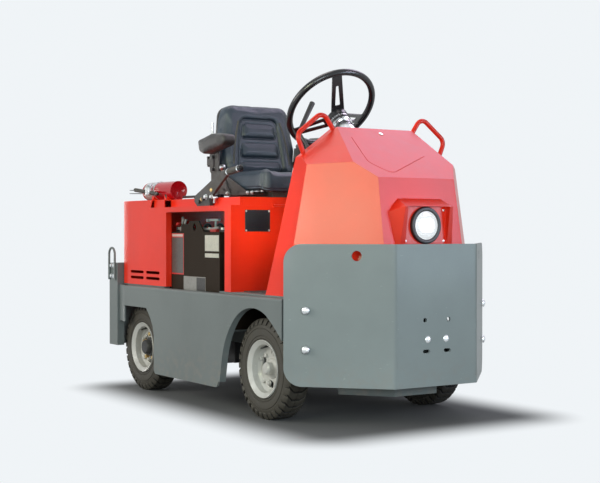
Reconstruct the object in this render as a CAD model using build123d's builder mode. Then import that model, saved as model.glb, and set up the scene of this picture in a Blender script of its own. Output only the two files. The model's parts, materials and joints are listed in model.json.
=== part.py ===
from build123d import *
import os
from math import cos, hypot, radians, sin, tan

os.makedirs("parts", exist_ok=True)

# Airport baggage tug. X forward, Y to the driver's left, Z up, millimetres.
# The origin lies on the ground, midway between front bumper and rear hitch.

# ---- along the vehicle, front to rear ----
front_overhang = 574.0
wheelbase = 1130.0
rear_overhang = 265.5
hitch_reach = 74.5
half_length = (front_overhang + wheelbase + rear_overhang + hitch_reach) / 2
front_axle_x = half_length - front_overhang
rear_axle_x = front_axle_x - wheelbase
rear_face_x = -half_length + hitch_reach

# ---- widths and general fits ----
skirt_face_y = 505.0
body_inset = 20.0
body_face_y = skirt_face_y - body_inset
seat_gap = 0.3
run_gap = 0.05

# ---- wheels ----
tyre_radius = 207.5
tyre_width = 110.0
tyre_shoulder = 12.0
lug_count = 34
lug_depth = 9.0
lug_share = 0.74
lug_wrap = 23.5
bead_radius = 103.0
wheel_inset = 53.0
half_width = tyre_width / 2
wheel_plane_y = skirt_face_y - wheel_inset - half_width
rim_flange_radius = 121.0
rim_wall = 4.0
rim_dish_depth = 51.0
hub_radius = 40.0
hub_cap_radius = 27.0
hub_cap_face = 16.0
spindle_radius = 16.0
kingpin_inset = 85.0
kingpin_y = wheel_plane_y - kingpin_inset
kingpin_radius = 13.0
steering_arm = 105.0

# ---- chassis plates ----
plate = 8.0
skirt_top_z = 507.0
skirt_bottom_z = 105.0
skirt_front_x = front_axle_x + 237.5
skirt_rear_x = rear_axle_x - 86.5
skirt_bend = 10.0
ledge_width = 35.0
arch_return = 30.0
rail_y = 165.0
rail_width = 50.0
rail_bottom_z = 255.0
rail_height = 80.0
deck_plate = 8.0
deck_half_width = body_face_y - 5.0

# ---- front bumper ----
bumper_plate = 10.0
bumper_bottom_z = 168.0
bumper_top_z = 722.5
bumper_centre = 203.4
bumper_side = 440.0
bumper_sweep = 46.0
bumper_corner = 72.0
bumper_fold = 24.0

# ---- rear bumper ----
rear_depth = 95.0
rear_bottom_z = 206.0
rear_top_z = 613.0
rear_return = 38.0

# ---- red body ----
sheet = 4.0
body_rear_x = rear_face_x + 105.5
body_taper_x = rear_axle_x - 77.5
body_taper = 12.0
body_taper_y = body_face_y - body_taper
pedestal_x = front_axle_x - 198.0
rim_z = 882.0
deck_rise = 36.0
deck_z = rim_z + deck_rise
opening_rear_x = rear_axle_x + 325.5
opening_front_x = pedestal_x - 54.5
opening_top_z = rim_z - 24.0
step_x = rear_axle_x + 180.0
lid_rear_x = rear_axle_x + 286.0
lid_half_width = body_face_y - 45.0

# ---- cowl ----
nose_x = front_axle_x + 446.5
nose_z = 984.0
nose_half = 191.0
shoulder_x = front_axle_x + 227.5
shoulder_z = 1076.0
shoulder_half = 373.0
crown_x = front_axle_x + 165.5
crown_z = 1199.0
crown_half = 192.0
cowl_base_half = deck_half_width - 3.8

# ---- battery ----
battery_rear_x = rear_axle_x + 303.0
battery_front_x = pedestal_x - 151.0
battery_half_width = body_face_y - 30.0
battery_top_z = 768.0
tray = 6.0

# ---- steering ----
column_tilt = 46.7
wheel_x = pedestal_x + 36.5
wheel_z = 1311.0
wheel_rim_radius = 198.0
wheel_rim_tube = 14.5
wheel_dish = 72.0
wheel_hub_radius = 48.0
wheel_hub_height = 24.0
spoke_plate = 6.0
column_radius = 42.0
collar_radius = 46.0
collar_height = 38.0
column_length = 425.0

# ---- seat ----
seat_x = rear_axle_x + 547.0
seat_half = 238.0
seat_post_top_z = 1180.0
armrest_thickness = 68.0

deck_base_z = skirt_top_z + deck_plate
rail_top_z = rail_bottom_z + rail_height

# ================= chassis =================
# wheel arch in front: distance ahead of the front axle, height
arch_low = (-246.5, 204.0)
arch_rear = ((-202.0, 328.0), (-127.5, 413.0))
arch_top = ((-4.5, 459.0), (121.5, 434.0))
arch_front = ((176.0, 396.0), (237.5, 343.0))


def arch_edge(drop):
    """Arch outline from its rear foot to the skirt's front end, as lines and arcs."""
    ax = front_axle_x
    foot = (ax + arch_low[0] - 37.5, skirt_bottom_z - drop)
    low = (ax + arch_low[0], arch_low[1])
    a, b = [(ax + x, z) for x, z in arch_rear]
    c, d = [(ax + x, z) for x, z in arch_top]
    e, f = [(ax + x, z) for x, z in arch_front]
    Line(foot, low)
    ThreePointArc(low, a, b)
    ThreePointArc(b, c, d)
    ThreePointArc(d, e, f)
    return foot, f


with BuildPart() as side_skirts:
    with BuildSketch(Plane.XZ.offset(skirt_face_y)) as outline:
        with BuildLine():
            foot, front_end = arch_edge(0)
            rx = rear_axle_x
            Polyline(
                front_end,
                (skirt_front_x, skirt_top_z),
                (skirt_rear_x, skirt_top_z),
                (skirt_rear_x, 408),
                (rx + 154.5, 408),
                (rx + 192.5, 371),
                (rx + 224.5, 326),
                (rx + 236, 285),
                (rx + 236, skirt_bottom_z),
                foot,
            )
        make_face()
        corners = outline.vertices().filter_by_position(Axis.Y, 0, skirt_bottom_z + 1)
        fillet(corners, 24)
    extrude(amount=-plate)
    # arch lip turned inwards along the edge
    with BuildSketch(Plane.XZ.offset(skirt_face_y)):
        with BuildLine():
            lip_foot, lip_end = arch_edge(0)
            Polyline(lip_end, (lip_end[0] + 60, lip_end[1]), (lip_end[0] + 60, lip_foot[1]), lip_foot)
        make_face()
        offset(amount=plate - 2, kind=Kind.INTERSECTION)
        with BuildLine(mode=Mode.PRIVATE) as hole_edge:
            lip_foot, lip_end = arch_edge(90)
            Polyline(lip_end, (lip_end[0] + 90, lip_end[1]), (lip_end[0] + 90, lip_foot[1]), lip_foot)
        make_face(hole_edge.edges(), mode=Mode.SUBTRACT)
        with Locations((front_axle_x, skirt_bottom_z + 26 + 300)):
            Rectangle(2 * (skirt_front_x - front_axle_x) + 200, 600, mode=Mode.INTERSECT)
        with Locations((front_axle_x - 100, 300)):
            Rectangle(2 * (skirt_front_x - front_axle_x + 100), 600, mode=Mode.INTERSECT)
    extrude(amount=-arch_return)
    # top bend: the skirt folds over into a narrow ledge under the body
    with BuildSketch(Plane.XY.offset(skirt_top_z - plate)):
        with Locations(((skirt_front_x + skirt_rear_x) / 2, -skirt_face_y + ledge_width / 2)):
            Rectangle(skirt_front_x - skirt_rear_x, ledge_width)
    extrude(amount=plate)
    bend = side_skirts.edges().filter_by(
        lambda e: abs(e.center().Y + skirt_face_y) < 0.1 and abs(e.center().Z - skirt_top_z) < 0.1
    )
    fillet(bend, skirt_bend)
    with BuildSketch(Plane.XY.offset(330)):
        tail_x = rear_face_x + rear_depth + seat_gap
        with BuildLine():
            Polyline(
                (skirt_rear_x, -skirt_face_y),
                (tail_x, -skirt_face_y + body_taper),
                (tail_x, -skirt_face_y + body_taper + plate),
                (skirt_rear_x, -skirt_face_y + plate),
                close=True,
            )
        make_face()
    extrude(amount=skirt_top_z - 330)
    mirror(side_skirts.part, about=Plane.XZ)
side_skirts.part.label = "side_skirts"
export_step(side_skirts.part, "parts/side_skirts.step")

rail_front_x = half_length - bumper_plate
rail_rear_x = rear_face_x + bumper_plate
# distance from the rear axle of the cross members and of the posts under the deck
cross_members = (-148.0, 282.0, wheelbase - 278.0, wheelbase + 212.0, wheelbase + 452.0)
post_offsets = (-148.0, 182.0, wheelbase - 278.0, wheelbase + 212.0)
with BuildPart() as frame_rails:
    with BuildSketch(Plane.XY.offset(rail_bottom_z)):
        with Locations(
            ((rail_front_x + rail_rear_x) / 2, rail_y),
            ((rail_front_x + rail_rear_x) / 2, -rail_y),
        ):
            Rectangle(rail_front_x - rail_rear_x, rail_width)
        with Locations(*[(rear_axle_x + x, 0) for x in cross_members]):
            Rectangle(60, 2 * rail_y)
    extrude(amount=rail_height)
    with BuildSketch(Plane.XY.offset(rail_top_z)):
        with Locations(*[(rear_axle_x + x, y) for x in post_offsets for y in (-rail_y, rail_y)]):
            Rectangle(40, rail_width)
        with Locations((rear_axle_x + cross_members[4], 0)):
            Rectangle(40, rail_width)
    extrude(amount=skirt_top_z - rail_top_z)
frame_rails.part.label = "frame_rails"
export_step(frame_rails.part, "parts/frame_rails.step")

with BuildPart() as deck_plates:
    with BuildSketch(Plane.XY.offset(skirt_top_z)):
        with BuildLine():
            Polyline(
                (opening_front_x - 55, -deck_half_width),
                (skirt_front_x, -deck_half_width),
                (half_length - 57, -bumper_centre - 2),
                (half_length - 57, bumper_centre + 2),
                (skirt_front_x, deck_half_width),
                (opening_front_x - 55, deck_half_width),
                close=True,
            )
        make_face()
        with BuildLine():
            Polyline(
                (battery_rear_x - plate, -deck_half_width),
                (skirt_rear_x, -deck_half_width),
                (tail_x, -deck_half_width + body_taper),
                (tail_x, deck_half_width - body_taper),
                (skirt_rear_x, deck_half_width),
                (battery_rear_x - plate, deck_half_width),
                close=True,
            )
        make_face()
    extrude(amount=deck_plate)
deck_plates.part.label = "deck_plates"
export_step(deck_plates.part, "parts/deck_plates.step")

tray_half_width = skirt_face_y - plate
with BuildPart() as battery_tray:
    with BuildSketch(Plane.XY.offset(rail_top_z)):
        with Locations(((battery_rear_x + battery_front_x) / 2, 0)):
            Rectangle(battery_front_x - battery_rear_x + 30, 2 * tray_half_width)
    extrude(amount=tray)
battery_tray.part.label = "battery_tray"
export_step(battery_tray.part, "parts/battery_tray.step")

# The battery is one steel-cased block with a lifting eye on each long side.
battery_base_z = rail_top_z + tray
battery_mid_x = (battery_rear_x + battery_front_x) / 2
case_wall = 6.0
with BuildPart() as battery:
    with BuildSketch(Plane.XY.offset(battery_base_z)):
        with Locations((battery_mid_x, 0)):
            Rectangle(battery_front_x - battery_rear_x, 2 * battery_half_width)
    extrude(amount=battery_top_z - battery_base_z)
    for side in (-1, 1):
        with BuildSketch(Plane.XZ.offset(side * battery_half_width)) as eye_plate:
            with BuildLine():
                Polyline(
                    (battery_mid_x - 124, battery_top_z),
                    (battery_mid_x - 124, battery_top_z + 36),
                    (battery_mid_x - 50, battery_top_z + 36),
                    (battery_mid_x - 41, battery_top_z + 49),
                    (battery_mid_x + 47, battery_top_z + 49),
                    (battery_mid_x + 92, battery_top_z),
                    close=True,
                )
            make_face()
            with Locations((battery_mid_x + 5, battery_top_z + 20)):
                Circle(15, mode=Mode.SUBTRACT)
            with Locations((battery_mid_x + 5, battery_top_z + 32)):
                Circle(7, mode=Mode.SUBTRACT)
        extrude(amount=-side * case_wall)
battery.part.label = "battery"
export_step(battery.part, "parts/battery.step")

# ================= front bumper =================
fold = radians(bumper_sweep)
end_x = half_length - bumper_side * sin(fold)
end_y = bumper_centre + bumper_side * cos(fold)
inner_centre = bumper_centre - bumper_plate * tan(fold / 2)
inner_end_x = end_x - bumper_plate * cos(fold)
inner_end_y = end_y - bumper_plate * sin(fold)
with BuildPart() as front_bumper:
    with BuildSketch(Plane.XY.offset(bumper_bottom_z)) as bumper_plan:
        with BuildLine():
            Polyline(
                (end_x, end_y),
                (half_length, bumper_centre),
                (half_length, -bumper_centre),
                (end_x, -end_y),
                (inner_end_x, -inner_end_y),
                (half_length - bumper_plate, -inner_centre),
                (half_length - bumper_plate, inner_centre),
                (inner_end_x, inner_end_y),
                close=True,
            )
        make_face()
        folds = bumper_plan.vertices().filter_by(lambda v: v.X > half_length - 2 * bumper_plate)
        outer = folds.filter_by(lambda v: v.X > half_length - 1)
        inner = folds.filter_by(lambda v: v.X < half_length - 1)
        fillet(outer, bumper_fold)
        fillet(inner, bumper_fold - bumper_plate)
    extrude(amount=bumper_top_z - bumper_bottom_z)
    ends = front_bumper.edges().filter_by(
        lambda e: abs(e.length - bumper_plate) < 0.1 and abs(e.center().Y) > inner_end_y - 1
    )
    fillet(ends, bumper_corner)
    # coupler hole pattern in the middle: two holes, two bolt holes, two slots
    with BuildSketch(Plane.YZ.offset(half_length)):
        with Locations((-58.5, 427), (58.5, 427)):
            Circle(9)
        with Locations((-52, 306), (52, 306)):
            SlotOverall(34, 14)
    extrude(amount=-bumper_plate, mode=Mode.SUBTRACT)
    for side in (-1, 1):
        face_plane = Plane(
            origin=(half_length - 150 * sin(fold), side * (bumper_centre + 150 * cos(fold)), 677),
            x_dir=(-side * sin(fold), cos(fold), 0),
            z_dir=(cos(fold), side * sin(fold), 0),
        )
        with BuildSketch(face_plane):
            Circle(20)
        extrude(amount=-bumper_plate - 5, mode=Mode.SUBTRACT)
front_bumper.part.label = "front_bumper"
export_step(front_bumper.part, "parts/front_bumper.step")

# Bolted brackets carry the bumper's side panels from the skirts.
bracket_plate = 8.0
with BuildPart() as bumper_brackets:
    with BuildSketch(Plane.XY.offset(270)):
        bracket_y = skirt_face_y - plate
        foot = 75.0
        foot_x = end_x - bumper_plate * cos(fold) + 110 * sin(fold)
        foot_y = end_y - bumper_plate * sin(fold) - 110 * cos(fold)
        with BuildLine():
            Polyline(
                (foot_x, -foot_y),
                (foot_x - foot * sin(fold), -foot_y - foot * cos(fold)),
                (skirt_front_x - 60, -bracket_y),
                (skirt_front_x - 60, -bracket_y + bracket_plate),
                (foot_x - foot * sin(fold) - 2, -bracket_y + bracket_plate + 18),
                (foot_x - 8, -foot_y + 8),
                close=True,
            )
        make_face()
    extrude(amount=skirt_top_z - plate - 270)
    # notch that clears the arch lip
    with BuildSketch(Plane.XY.offset(262)):
        with Locations((skirt_front_x - 46, -skirt_face_y + 40)):
            Rectangle(100, 80)
    extrude(amount=143, mode=Mode.SUBTRACT)
    mirror(bumper_brackets.part, about=Plane.XZ)
bumper_brackets.part.label = "bumper_brackets"
export_step(bumper_brackets.part, "parts/bumper_brackets.step")

valance_front_x = half_length - 132.0
valance_rear_x = front_axle_x + 258.0
with BuildPart() as valance:
    with BuildSketch(Plane.XY.offset(118)):
        with BuildLine():
            Polyline(
                (valance_rear_x, -250), (valance_front_x, -105),
                (valance_front_x, 105), (valance_rear_x, 250),
                (valance_rear_x - 5, 243), (valance_front_x - plate, 101),
                (valance_front_x - plate, -101), (valance_rear_x - 5, -243),
                close=True,
            )
        make_face()
    extrude(amount=rail_bottom_z - 118)
valance.part.label = "valance"
export_step(valance.part, "parts/valance.step")

# ================= rear bumper, loops and hitch =================
rear_front_x = rear_face_x + rear_depth
with BuildPart() as rear_bumper:
    with BuildSketch(Plane.XY.offset(rear_bottom_z)) as rear_plan:
        with BuildLine():
            Polyline(
                (rear_face_x, -skirt_face_y),
                (rear_front_x, -skirt_face_y),
                (rear_front_x, -skirt_face_y + rear_return),
                (rear_front_x - bumper_plate, -skirt_face_y + rear_return),
                (rear_front_x - bumper_plate, -skirt_face_y + bumper_plate),
                (rear_face_x + bumper_plate, -skirt_face_y + bumper_plate),
                (rear_face_x + bumper_plate, skirt_face_y - bumper_plate),
                (rear_front_x - bumper_plate, skirt_face_y - bumper_plate),
                (rear_front_x - bumper_plate, skirt_face_y - rear_return),
                (rear_front_x, skirt_face_y - rear_return),
                (rear_front_x, skirt_face_y),
                (rear_face_x, skirt_face_y),
                close=True,
            )
        make_face()
    extrude(amount=rear_top_z - rear_bottom_z)
rear_bumper.part.label = "rear_bumper"
export_step(rear_bumper.part, "parts/rear_bumper.step")

loop_bar = 11.0
loop_span = 67.0
loop_top_z = 688.0
loop_foot_z = 530.0
loop_x = rear_face_x + 43
loop_bend = loop_span / 2
with BuildPart() as tow_loops:
    bar_y = skirt_face_y + loop_bar / 2
    with BuildLine(Plane.XZ.offset(bar_y)) as loop_path:
        Line((loop_x - loop_bend, loop_foot_z), (loop_x - loop_bend, loop_top_z - loop_bend))
        ThreePointArc(
            (loop_x - loop_bend, loop_top_z - loop_bend),
            (loop_x, loop_top_z),
            (loop_x + loop_bend, loop_top_z - loop_bend),
        )
        Line((loop_x + loop_bend, loop_top_z - loop_bend), (loop_x + loop_bend, loop_foot_z))
    with BuildSketch(Plane(origin=(loop_x - loop_bend, -bar_y, loop_foot_z))):
        Circle(loop_bar / 2)
    sweep(path=loop_path.wire())
    mirror(tow_loops.part, about=Plane.XZ)
tow_loops.part.label = "tow_loops"
export_step(tow_loops.part, "parts/tow_loops.step")

# Clevis hitch: a base plate on the rear bumper with three jaw plates and a drop pin.
hitch_z = 330.0
hitch_half_width = 60.0
hitch_base = 14.0
hitch_jaw = 12.0
hitch_gap = 44.0
hitch_pin_radius = 12.5
hitch_rear_x = -half_length
hitch_pin_x = hitch_rear_x + 28.0
jaw_levels = (-1, 0, 1)
with BuildPart() as rear_hitch:
    with BuildSketch(Plane.YZ.offset(rear_face_x)):
        with Locations((0, hitch_z)):
            RectangleRounded(2 * hitch_half_width + 40, 210, 12)
    extrude(amount=-hitch_base)
    for level in jaw_levels:
        jaw_z = hitch_z + level * (hitch_gap + hitch_jaw) - hitch_jaw / 2
        with BuildSketch(Plane.XY.offset(jaw_z)):
            with BuildLine():
                Polyline(
                    (rear_face_x - hitch_base, -hitch_half_width),
                    (rear_face_x - hitch_base, hitch_half_width),
                    (hitch_pin_x, 28),
                )
                ThreePointArc((hitch_pin_x, 28), (hitch_rear_x, 0), (hitch_pin_x, -28))
                Line((hitch_pin_x, -28), (rear_face_x - hitch_base, -hitch_half_width))
            make_face()
            with Locations((hitch_pin_x, 0)):
                Circle(hitch_pin_radius + run_gap, mode=Mode.SUBTRACT)
        extrude(amount=hitch_jaw)
rear_hitch.part.label = "rear_hitch"
export_step(rear_hitch.part, "parts/rear_hitch.step")

jaw_top_z = hitch_z + hitch_gap + 1.5 * hitch_jaw
jaw_low_z = hitch_z - hitch_gap - 1.5 * hitch_jaw
with BuildPart() as hitch_pin:
    with BuildSketch(Plane.XY.offset(jaw_low_z - 20)):
        with Locations((hitch_pin_x, 0)):
            Circle(hitch_pin_radius)
    extrude(amount=jaw_top_z - jaw_low_z + 20)
    with BuildSketch(Plane.XY.offset(jaw_top_z)):
        with Locations((hitch_pin_x, 0)):
            Circle(20)
    extrude(amount=8)
    with BuildSketch(Plane.XY.offset(jaw_top_z + 8)):
        with Locations((hitch_pin_x, 0)):
            Circle(7)
    extrude(amount=60)
hitch_pin.part.label = "hitch_pin"
export_step(hitch_pin.part, "parts/hitch_pin.step")

# ================= red body =================
seam_low_x = step_x - 18
slot_offsets = (14.0, 185.0)
slot_pitch = 27.5
with BuildPart() as body_sides:
    with BuildSketch(Plane.XZ.offset(body_face_y)):
        with BuildLine():
            Polyline(
                (body_taper_x, deck_base_z),
                (opening_rear_x, deck_base_z),
                (opening_rear_x, opening_top_z),
                (opening_front_x, opening_top_z),
                (opening_front_x, deck_base_z),
                (pedestal_x - sheet, deck_base_z),
                (pedestal_x - sheet, rim_z),
                (seam_low_x, rim_z),
                (step_x, deck_z),
                (body_taper_x, deck_z),
                close=True,
            )
        make_face()
        # cooling slots low on the rear panel
        slot_z = deck_base_z + 33
        with Locations(*[(rear_axle_x + x, slot_z + z) for x in slot_offsets for z in (0, slot_pitch)]):
            SlotOverall(143, 13, mode=Mode.SUBTRACT)
    extrude(amount=-sheet)
    # rear jamb and front jamb return flanges
    with BuildSketch(Plane.XY.offset(deck_base_z)):
        for x in (opening_rear_x - sheet / 2, opening_front_x + sheet / 2):
            with Locations((x, -body_face_y + 14)):
                Rectangle(sheet, 28)
    extrude(amount=opening_top_z - deck_base_z + 10)
    # rim flange that the seat deck rests on
    with BuildSketch(Plane.XY.offset(rim_z - sheet)):
        with Locations(((lid_rear_x + pedestal_x - sheet) / 2, -body_face_y + 32.5)):
            Rectangle(pedestal_x - sheet - lid_rear_x, 65)
    extrude(amount=sheet)
    # tapered rear corner with three short slots
    with BuildSketch(Plane.XY.offset(deck_base_z)):
        with BuildLine():
            Polyline(
                (body_taper_x, -body_face_y),
                (body_rear_x, -body_taper_y),
                (body_rear_x, -body_taper_y + sheet),
                (body_taper_x, -body_face_y + sheet),
                close=True,
            )
        make_face()
    extrude(amount=deck_z - deck_base_z)
    mirror(body_sides.part, about=Plane.XZ)
body_sides.part.label = "body_sides"
export_step(body_sides.part, "parts/body_sides.step")

with BuildPart() as body_rear:
    with BuildSketch(Plane.XY.offset(deck_base_z)):
        with Locations((body_rear_x + sheet / 2, 0)):
            Rectangle(sheet, 2 * (body_taper_y - sheet))
    extrude(amount=deck_z - deck_base_z - sheet)
    with BuildSketch(Plane.XY.offset(deck_z - sheet)):
        with BuildLine():
            Polyline(
                (lid_rear_x - 5, -body_face_y + sheet + 10),
                (step_x - 10, -body_face_y + sheet + 10),
                (step_x - 10, -body_face_y + sheet),
                (body_taper_x, -body_face_y + sheet),
                (body_rear_x, -body_taper_y + sheet),
                (body_rear_x, body_taper_y - sheet),
                (body_taper_x, body_face_y - sheet),
                (step_x - 10, body_face_y - sheet),
                (step_x - 10, body_face_y - sheet - 10),
                (lid_rear_x - 5, body_face_y - sheet - 10),
                close=True,
            )
        make_face()
    extrude(amount=sheet)
    with BuildSketch(Plane.XY.offset(rim_z - sheet)):
        with Locations(((lid_rear_x - 5) / 2 + step_x / 2 - 5, -body_face_y + sheet + 12),
                       ((lid_rear_x - 5) / 2 + step_x / 2 - 5, body_face_y - sheet - 12)):
            Rectangle(lid_rear_x - 5 - step_x + 10, sheet)
    extrude(amount=deck_z - rim_z)
body_rear.part.label = "body_rear"
export_step(body_rear.part, "parts/body_rear.step")

# barrel hinge between pedestal and seat deck: the deck's knuckles lie outside and between the pedestal's
hinge_radius = 5.0
hinge_plate = 2.0
hinge_leaf = 20.0
hinge_knuckle = 110.0
hinge_x = pedestal_x + hinge_radius + seat_gap
hinge_pitch = hinge_knuckle + 1.0
with BuildPart() as pedestal:
    with BuildSketch(Plane.XY.offset(deck_base_z)):
        with Locations((pedestal_x - sheet / 2, 0)):
            Rectangle(sheet, 2 * body_face_y)
    extrude(amount=rim_z - deck_base_z)
    with BuildSketch(Plane.XY.offset(rim_z - hinge_leaf)):
        with Locations(*[(pedestal_x + hinge_plate / 2, y) for y in (-hinge_pitch, hinge_pitch)]):
            Rectangle(hinge_plate, hinge_knuckle)
    extrude(amount=hinge_leaf)
    for y in (-hinge_pitch, hinge_pitch):
        with BuildSketch(Plane.XZ.offset(-y - hinge_knuckle / 2)):
            with Locations((hinge_x, rim_z)):
                Circle(hinge_radius)
        extrude(amount=hinge_knuckle)
pedestal.part.label = "pedestal"
export_step(pedestal.part, "parts/pedestal.step")

lid_base_z = rim_z
with BuildPart() as seat_deck:
    with BuildSketch(Plane.XY.offset(lid_base_z)):
        with Locations(((lid_rear_x + pedestal_x) / 2, 0)):
            Rectangle(pedestal_x - lid_rear_x, 2 * lid_half_width)
    extrude(amount=deck_z - lid_base_z)
    with BuildSketch(Plane.XY.offset(lid_base_z)):
        with Locations(((lid_rear_x + pedestal_x) / 2, 0)):
            Rectangle(pedestal_x - lid_rear_x - 2 * sheet, 2 * lid_half_width - 2 * sheet)
    extrude(amount=deck_z - lid_base_z - sheet, mode=Mode.SUBTRACT)
    with BuildSketch(Plane.XY.offset(lid_base_z)):
        with Locations(*[(pedestal_x + hinge_plate / 2, y) for y in (-2 * hinge_pitch, 0, 2 * hinge_pitch)]):
            Rectangle(hinge_plate, hinge_knuckle)
    extrude(amount=hinge_leaf)
    for y in (-2 * hinge_pitch, 0, 2 * hinge_pitch):
        with BuildSketch(Plane.XZ.offset(-y - hinge_knuckle / 2)):
            with Locations((hinge_x, rim_z)):
                Circle(hinge_radius)
        extrude(amount=hinge_knuckle)
seat_deck.part.label = "seat_deck"
export_step(seat_deck.part, "parts/seat_deck.step")

# ================= cowl =================
front_lean = radians(9.5)
lean = tan(front_lean)
cowl_facets = (
    # point on the facet, outward normal (right half; the left half mirrors it)
    ((nose_x, 0, nose_z), (cos(front_lean), 0, sin(front_lean))),
    ((nose_x, 0, nose_z), (crown_z - nose_z, 0, nose_x - crown_x)),
    ((crown_x, 0, crown_z), (-0.135, 0, 0.991)),
    ((nose_x, -nose_half, nose_z), (0.6650, -0.7362, 0.1266)),
    ((shoulder_x, -shoulder_half, shoulder_z), (0.0, deck_base_z - shoulder_z, cowl_base_half - shoulder_half)),
    ((crown_x, -crown_half, crown_z), (0.4183, -0.5096, 0.7519)),
    ((crown_x, -crown_half, crown_z), (-0.0446, -0.5719, 0.8191)),
)
cowl_rear = (
    # rear outline of the cowl: distance ahead of the front axle, height
    (69.0, 400.0), (69.0, 517.0), (135.5, 1071.0), (121.4, 1193.0), (121.4, 1400.0),
)


def cowl_form(inset, base_z, rear_reach):
    """Convex cowl body bounded by its facets, moved inwards by inset."""
    with BuildPart() as form:
        with BuildSketch(Plane.XY.offset(base_z)):
            with Locations((front_axle_x + 152, 0)):
                Rectangle(900, 2 * skirt_face_y + 90)
        extrude(amount=800)
        for point, normal in cowl_facets:
            for side in (1, -1):
                n = Vector(normal[0], side * normal[1], normal[2]).normalized()
                p = Vector(point[0], side * point[1], point[2]) - n * inset
                if side == 1 or abs(normal[1]) > 0:
                    split(bisect_by=Plane(origin=p, z_dir=n), keep=Keep.BOTTOM)
        with BuildSketch(Plane.XZ.offset(600)):
            with BuildLine():
                Polyline(
                    (front_axle_x - 400, 400),
                    *[(front_axle_x + x - rear_reach, z) for x, z in cowl_rear],
                    (front_axle_x - 400, 1400),
                    close=True,
                )
            make_face()
        extrude(amount=-1200, mode=Mode.SUBTRACT)
    return form.part


groove_radius = 1.8
groove_corners = ((-222.5, -162.0), (-82.5, -179.0), (-20.5, -105.0), (-125.5, 136.0))
with BuildPart() as cowl:
    add(cowl_form(0, deck_base_z, 0))
    add(cowl_form(sheet, deck_base_z - 10, 50), mode=Mode.SUBTRACT)
    # pressed groove on the hood, placed from the nose edge
    with BuildLine() as groove:
        fall = (crown_z - nose_z) / (nose_x - crown_x)
        FilletPolyline(*[(nose_x + x, y, nose_z - x * fall) for x, y in groove_corners], radius=42)
    with BuildSketch(groove.line ^ 0):
        Circle(groove_radius)
    sweep(mode=Mode.SUBTRACT)
cowl.part.label = "cowl"
export_step(cowl.part, "parts/cowl.step")

# lamp housing: a hooded box whose cheeks flare out to the cowl's front panel
lamp_z = nose_z - 189.0
lamp_back_x = nose_x + lean * 189.0
lamp_front_x = nose_x + 81.5
lamp_plate_x = nose_x + 50.5
visor_z = lamp_z + 75.0
visor_half = 118.0
lamp_facets = (
    # three points on each facet, right side; cheeks are mirrored
    ((nose_x + lean * 82, 0, nose_z - 82), (nose_x + lean * 82, -90, nose_z - 82), (lamp_front_x, 0, visor_z)),
    ((lamp_front_x, 0, visor_z), (lamp_front_x, -90, visor_z), (lamp_front_x - 20, 0, visor_z - 147)),
    ((nose_x + lean * 82, -107, nose_z - 82), (nose_x + lean * 136, -160, nose_z - 136),
     (lamp_front_x, -visor_half, visor_z)),
    ((nose_x + lean * 136, -160, nose_z - 136), (nose_x + lean * 261, -142, nose_z - 261),
     (lamp_front_x, -visor_half, visor_z)),
)
with BuildPart() as lamp_box:
    with BuildSketch(Plane.XY.offset(bumper_top_z - 25)):
        with Locations((nose_x + 50, 0)):
            Rectangle(100, 400)
    extrude(amount=260)
    inside = Vector(nose_x + 40, 0, lamp_z)
    for p0, p1, p2 in lamp_facets:
        for side in (1, -1):
            q0, q1, q2 = [Vector(x, side * y, z) for x, y, z in (p0, p1, p2)]
            n = (q1 - q0).cross(q2 - q0).normalized()
            n = n * (-1 if n.dot(inside - q0) > 0 else 1)
            if side == 1 or p1[1] * p0[1] > 0:
                split(bisect_by=Plane(origin=q0, z_dir=n), keep=Keep.BOTTOM)
    back = Vector(cos(front_lean), 0, sin(front_lean))
    split(bisect_by=Plane(origin=(nose_x, 0, nose_z), z_dir=back), keep=Keep.TOP)
    with BuildSketch(Plane.YZ.offset(lamp_front_x + 20)):
        with Locations((0, lamp_z - 9)):
            Rectangle(2 * visor_half - 28, 2 * 84)
    extrude(amount=lamp_plate_x - lamp_front_x - 20, mode=Mode.SUBTRACT)
lamp_box.part.label = "lamp_box"
export_step(lamp_box.part, "parts/lamp_box.step")

lamp_ring = 73.0
lens_radius = 56.0
with BuildPart() as headlight:
    with BuildSketch(Plane.YZ.offset(lamp_plate_x)):
        with Locations((0, lamp_z)):
            Circle(lamp_ring)
    extrude(amount=12)
    with BuildSketch(Plane.YZ.offset(lamp_plate_x + 12)):
        with Locations((0, lamp_z)):
            Circle(lens_radius)
    extrude(amount=3)
headlight.part.label = "headlight"
export_step(headlight.part, "parts/headlight.step")

handle_bar = 10.0
handle_x = crown_x - 12.5
with BuildPart() as grab_handles:
    with BuildLine() as handle_path:
        FilletPolyline(
            (handle_x, -crown_half - 3, crown_z - 23), (handle_x, -crown_half - 61.7, crown_z + 60.7),
            (handle_x, -shoulder_half - 7.4, shoulder_z + 85.6), (handle_x, -shoulder_half + 29, shoulder_z),
            radius=35,
        )
    with BuildSketch(handle_path.line ^ 0):
        Circle(handle_bar)
    sweep()
    add(cowl_form(-seat_gap, deck_base_z + 85, -1), mode=Mode.SUBTRACT)
    mirror(grab_handles.part, about=Plane.XZ)
grab_handles.part.label = "grab_handles"
export_step(grab_handles.part, "parts/grab_handles.step")

with BuildPart() as dash:
    add(cowl_form(sheet + seat_gap, 700, -12))
    add(cowl_form(0, deck_base_z, -12 - sheet), mode=Mode.SUBTRACT)
    with BuildSketch(Plane.XY.offset(deck_base_z)):
        with Locations((front_axle_x, 0)):
            Rectangle(2 * half_length, 4 * skirt_face_y)
    extrude(amount=opening_top_z - deck_base_z, mode=Mode.SUBTRACT)
dash.part.label = "dash"
export_step(dash.part, "parts/dash.step")

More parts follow.
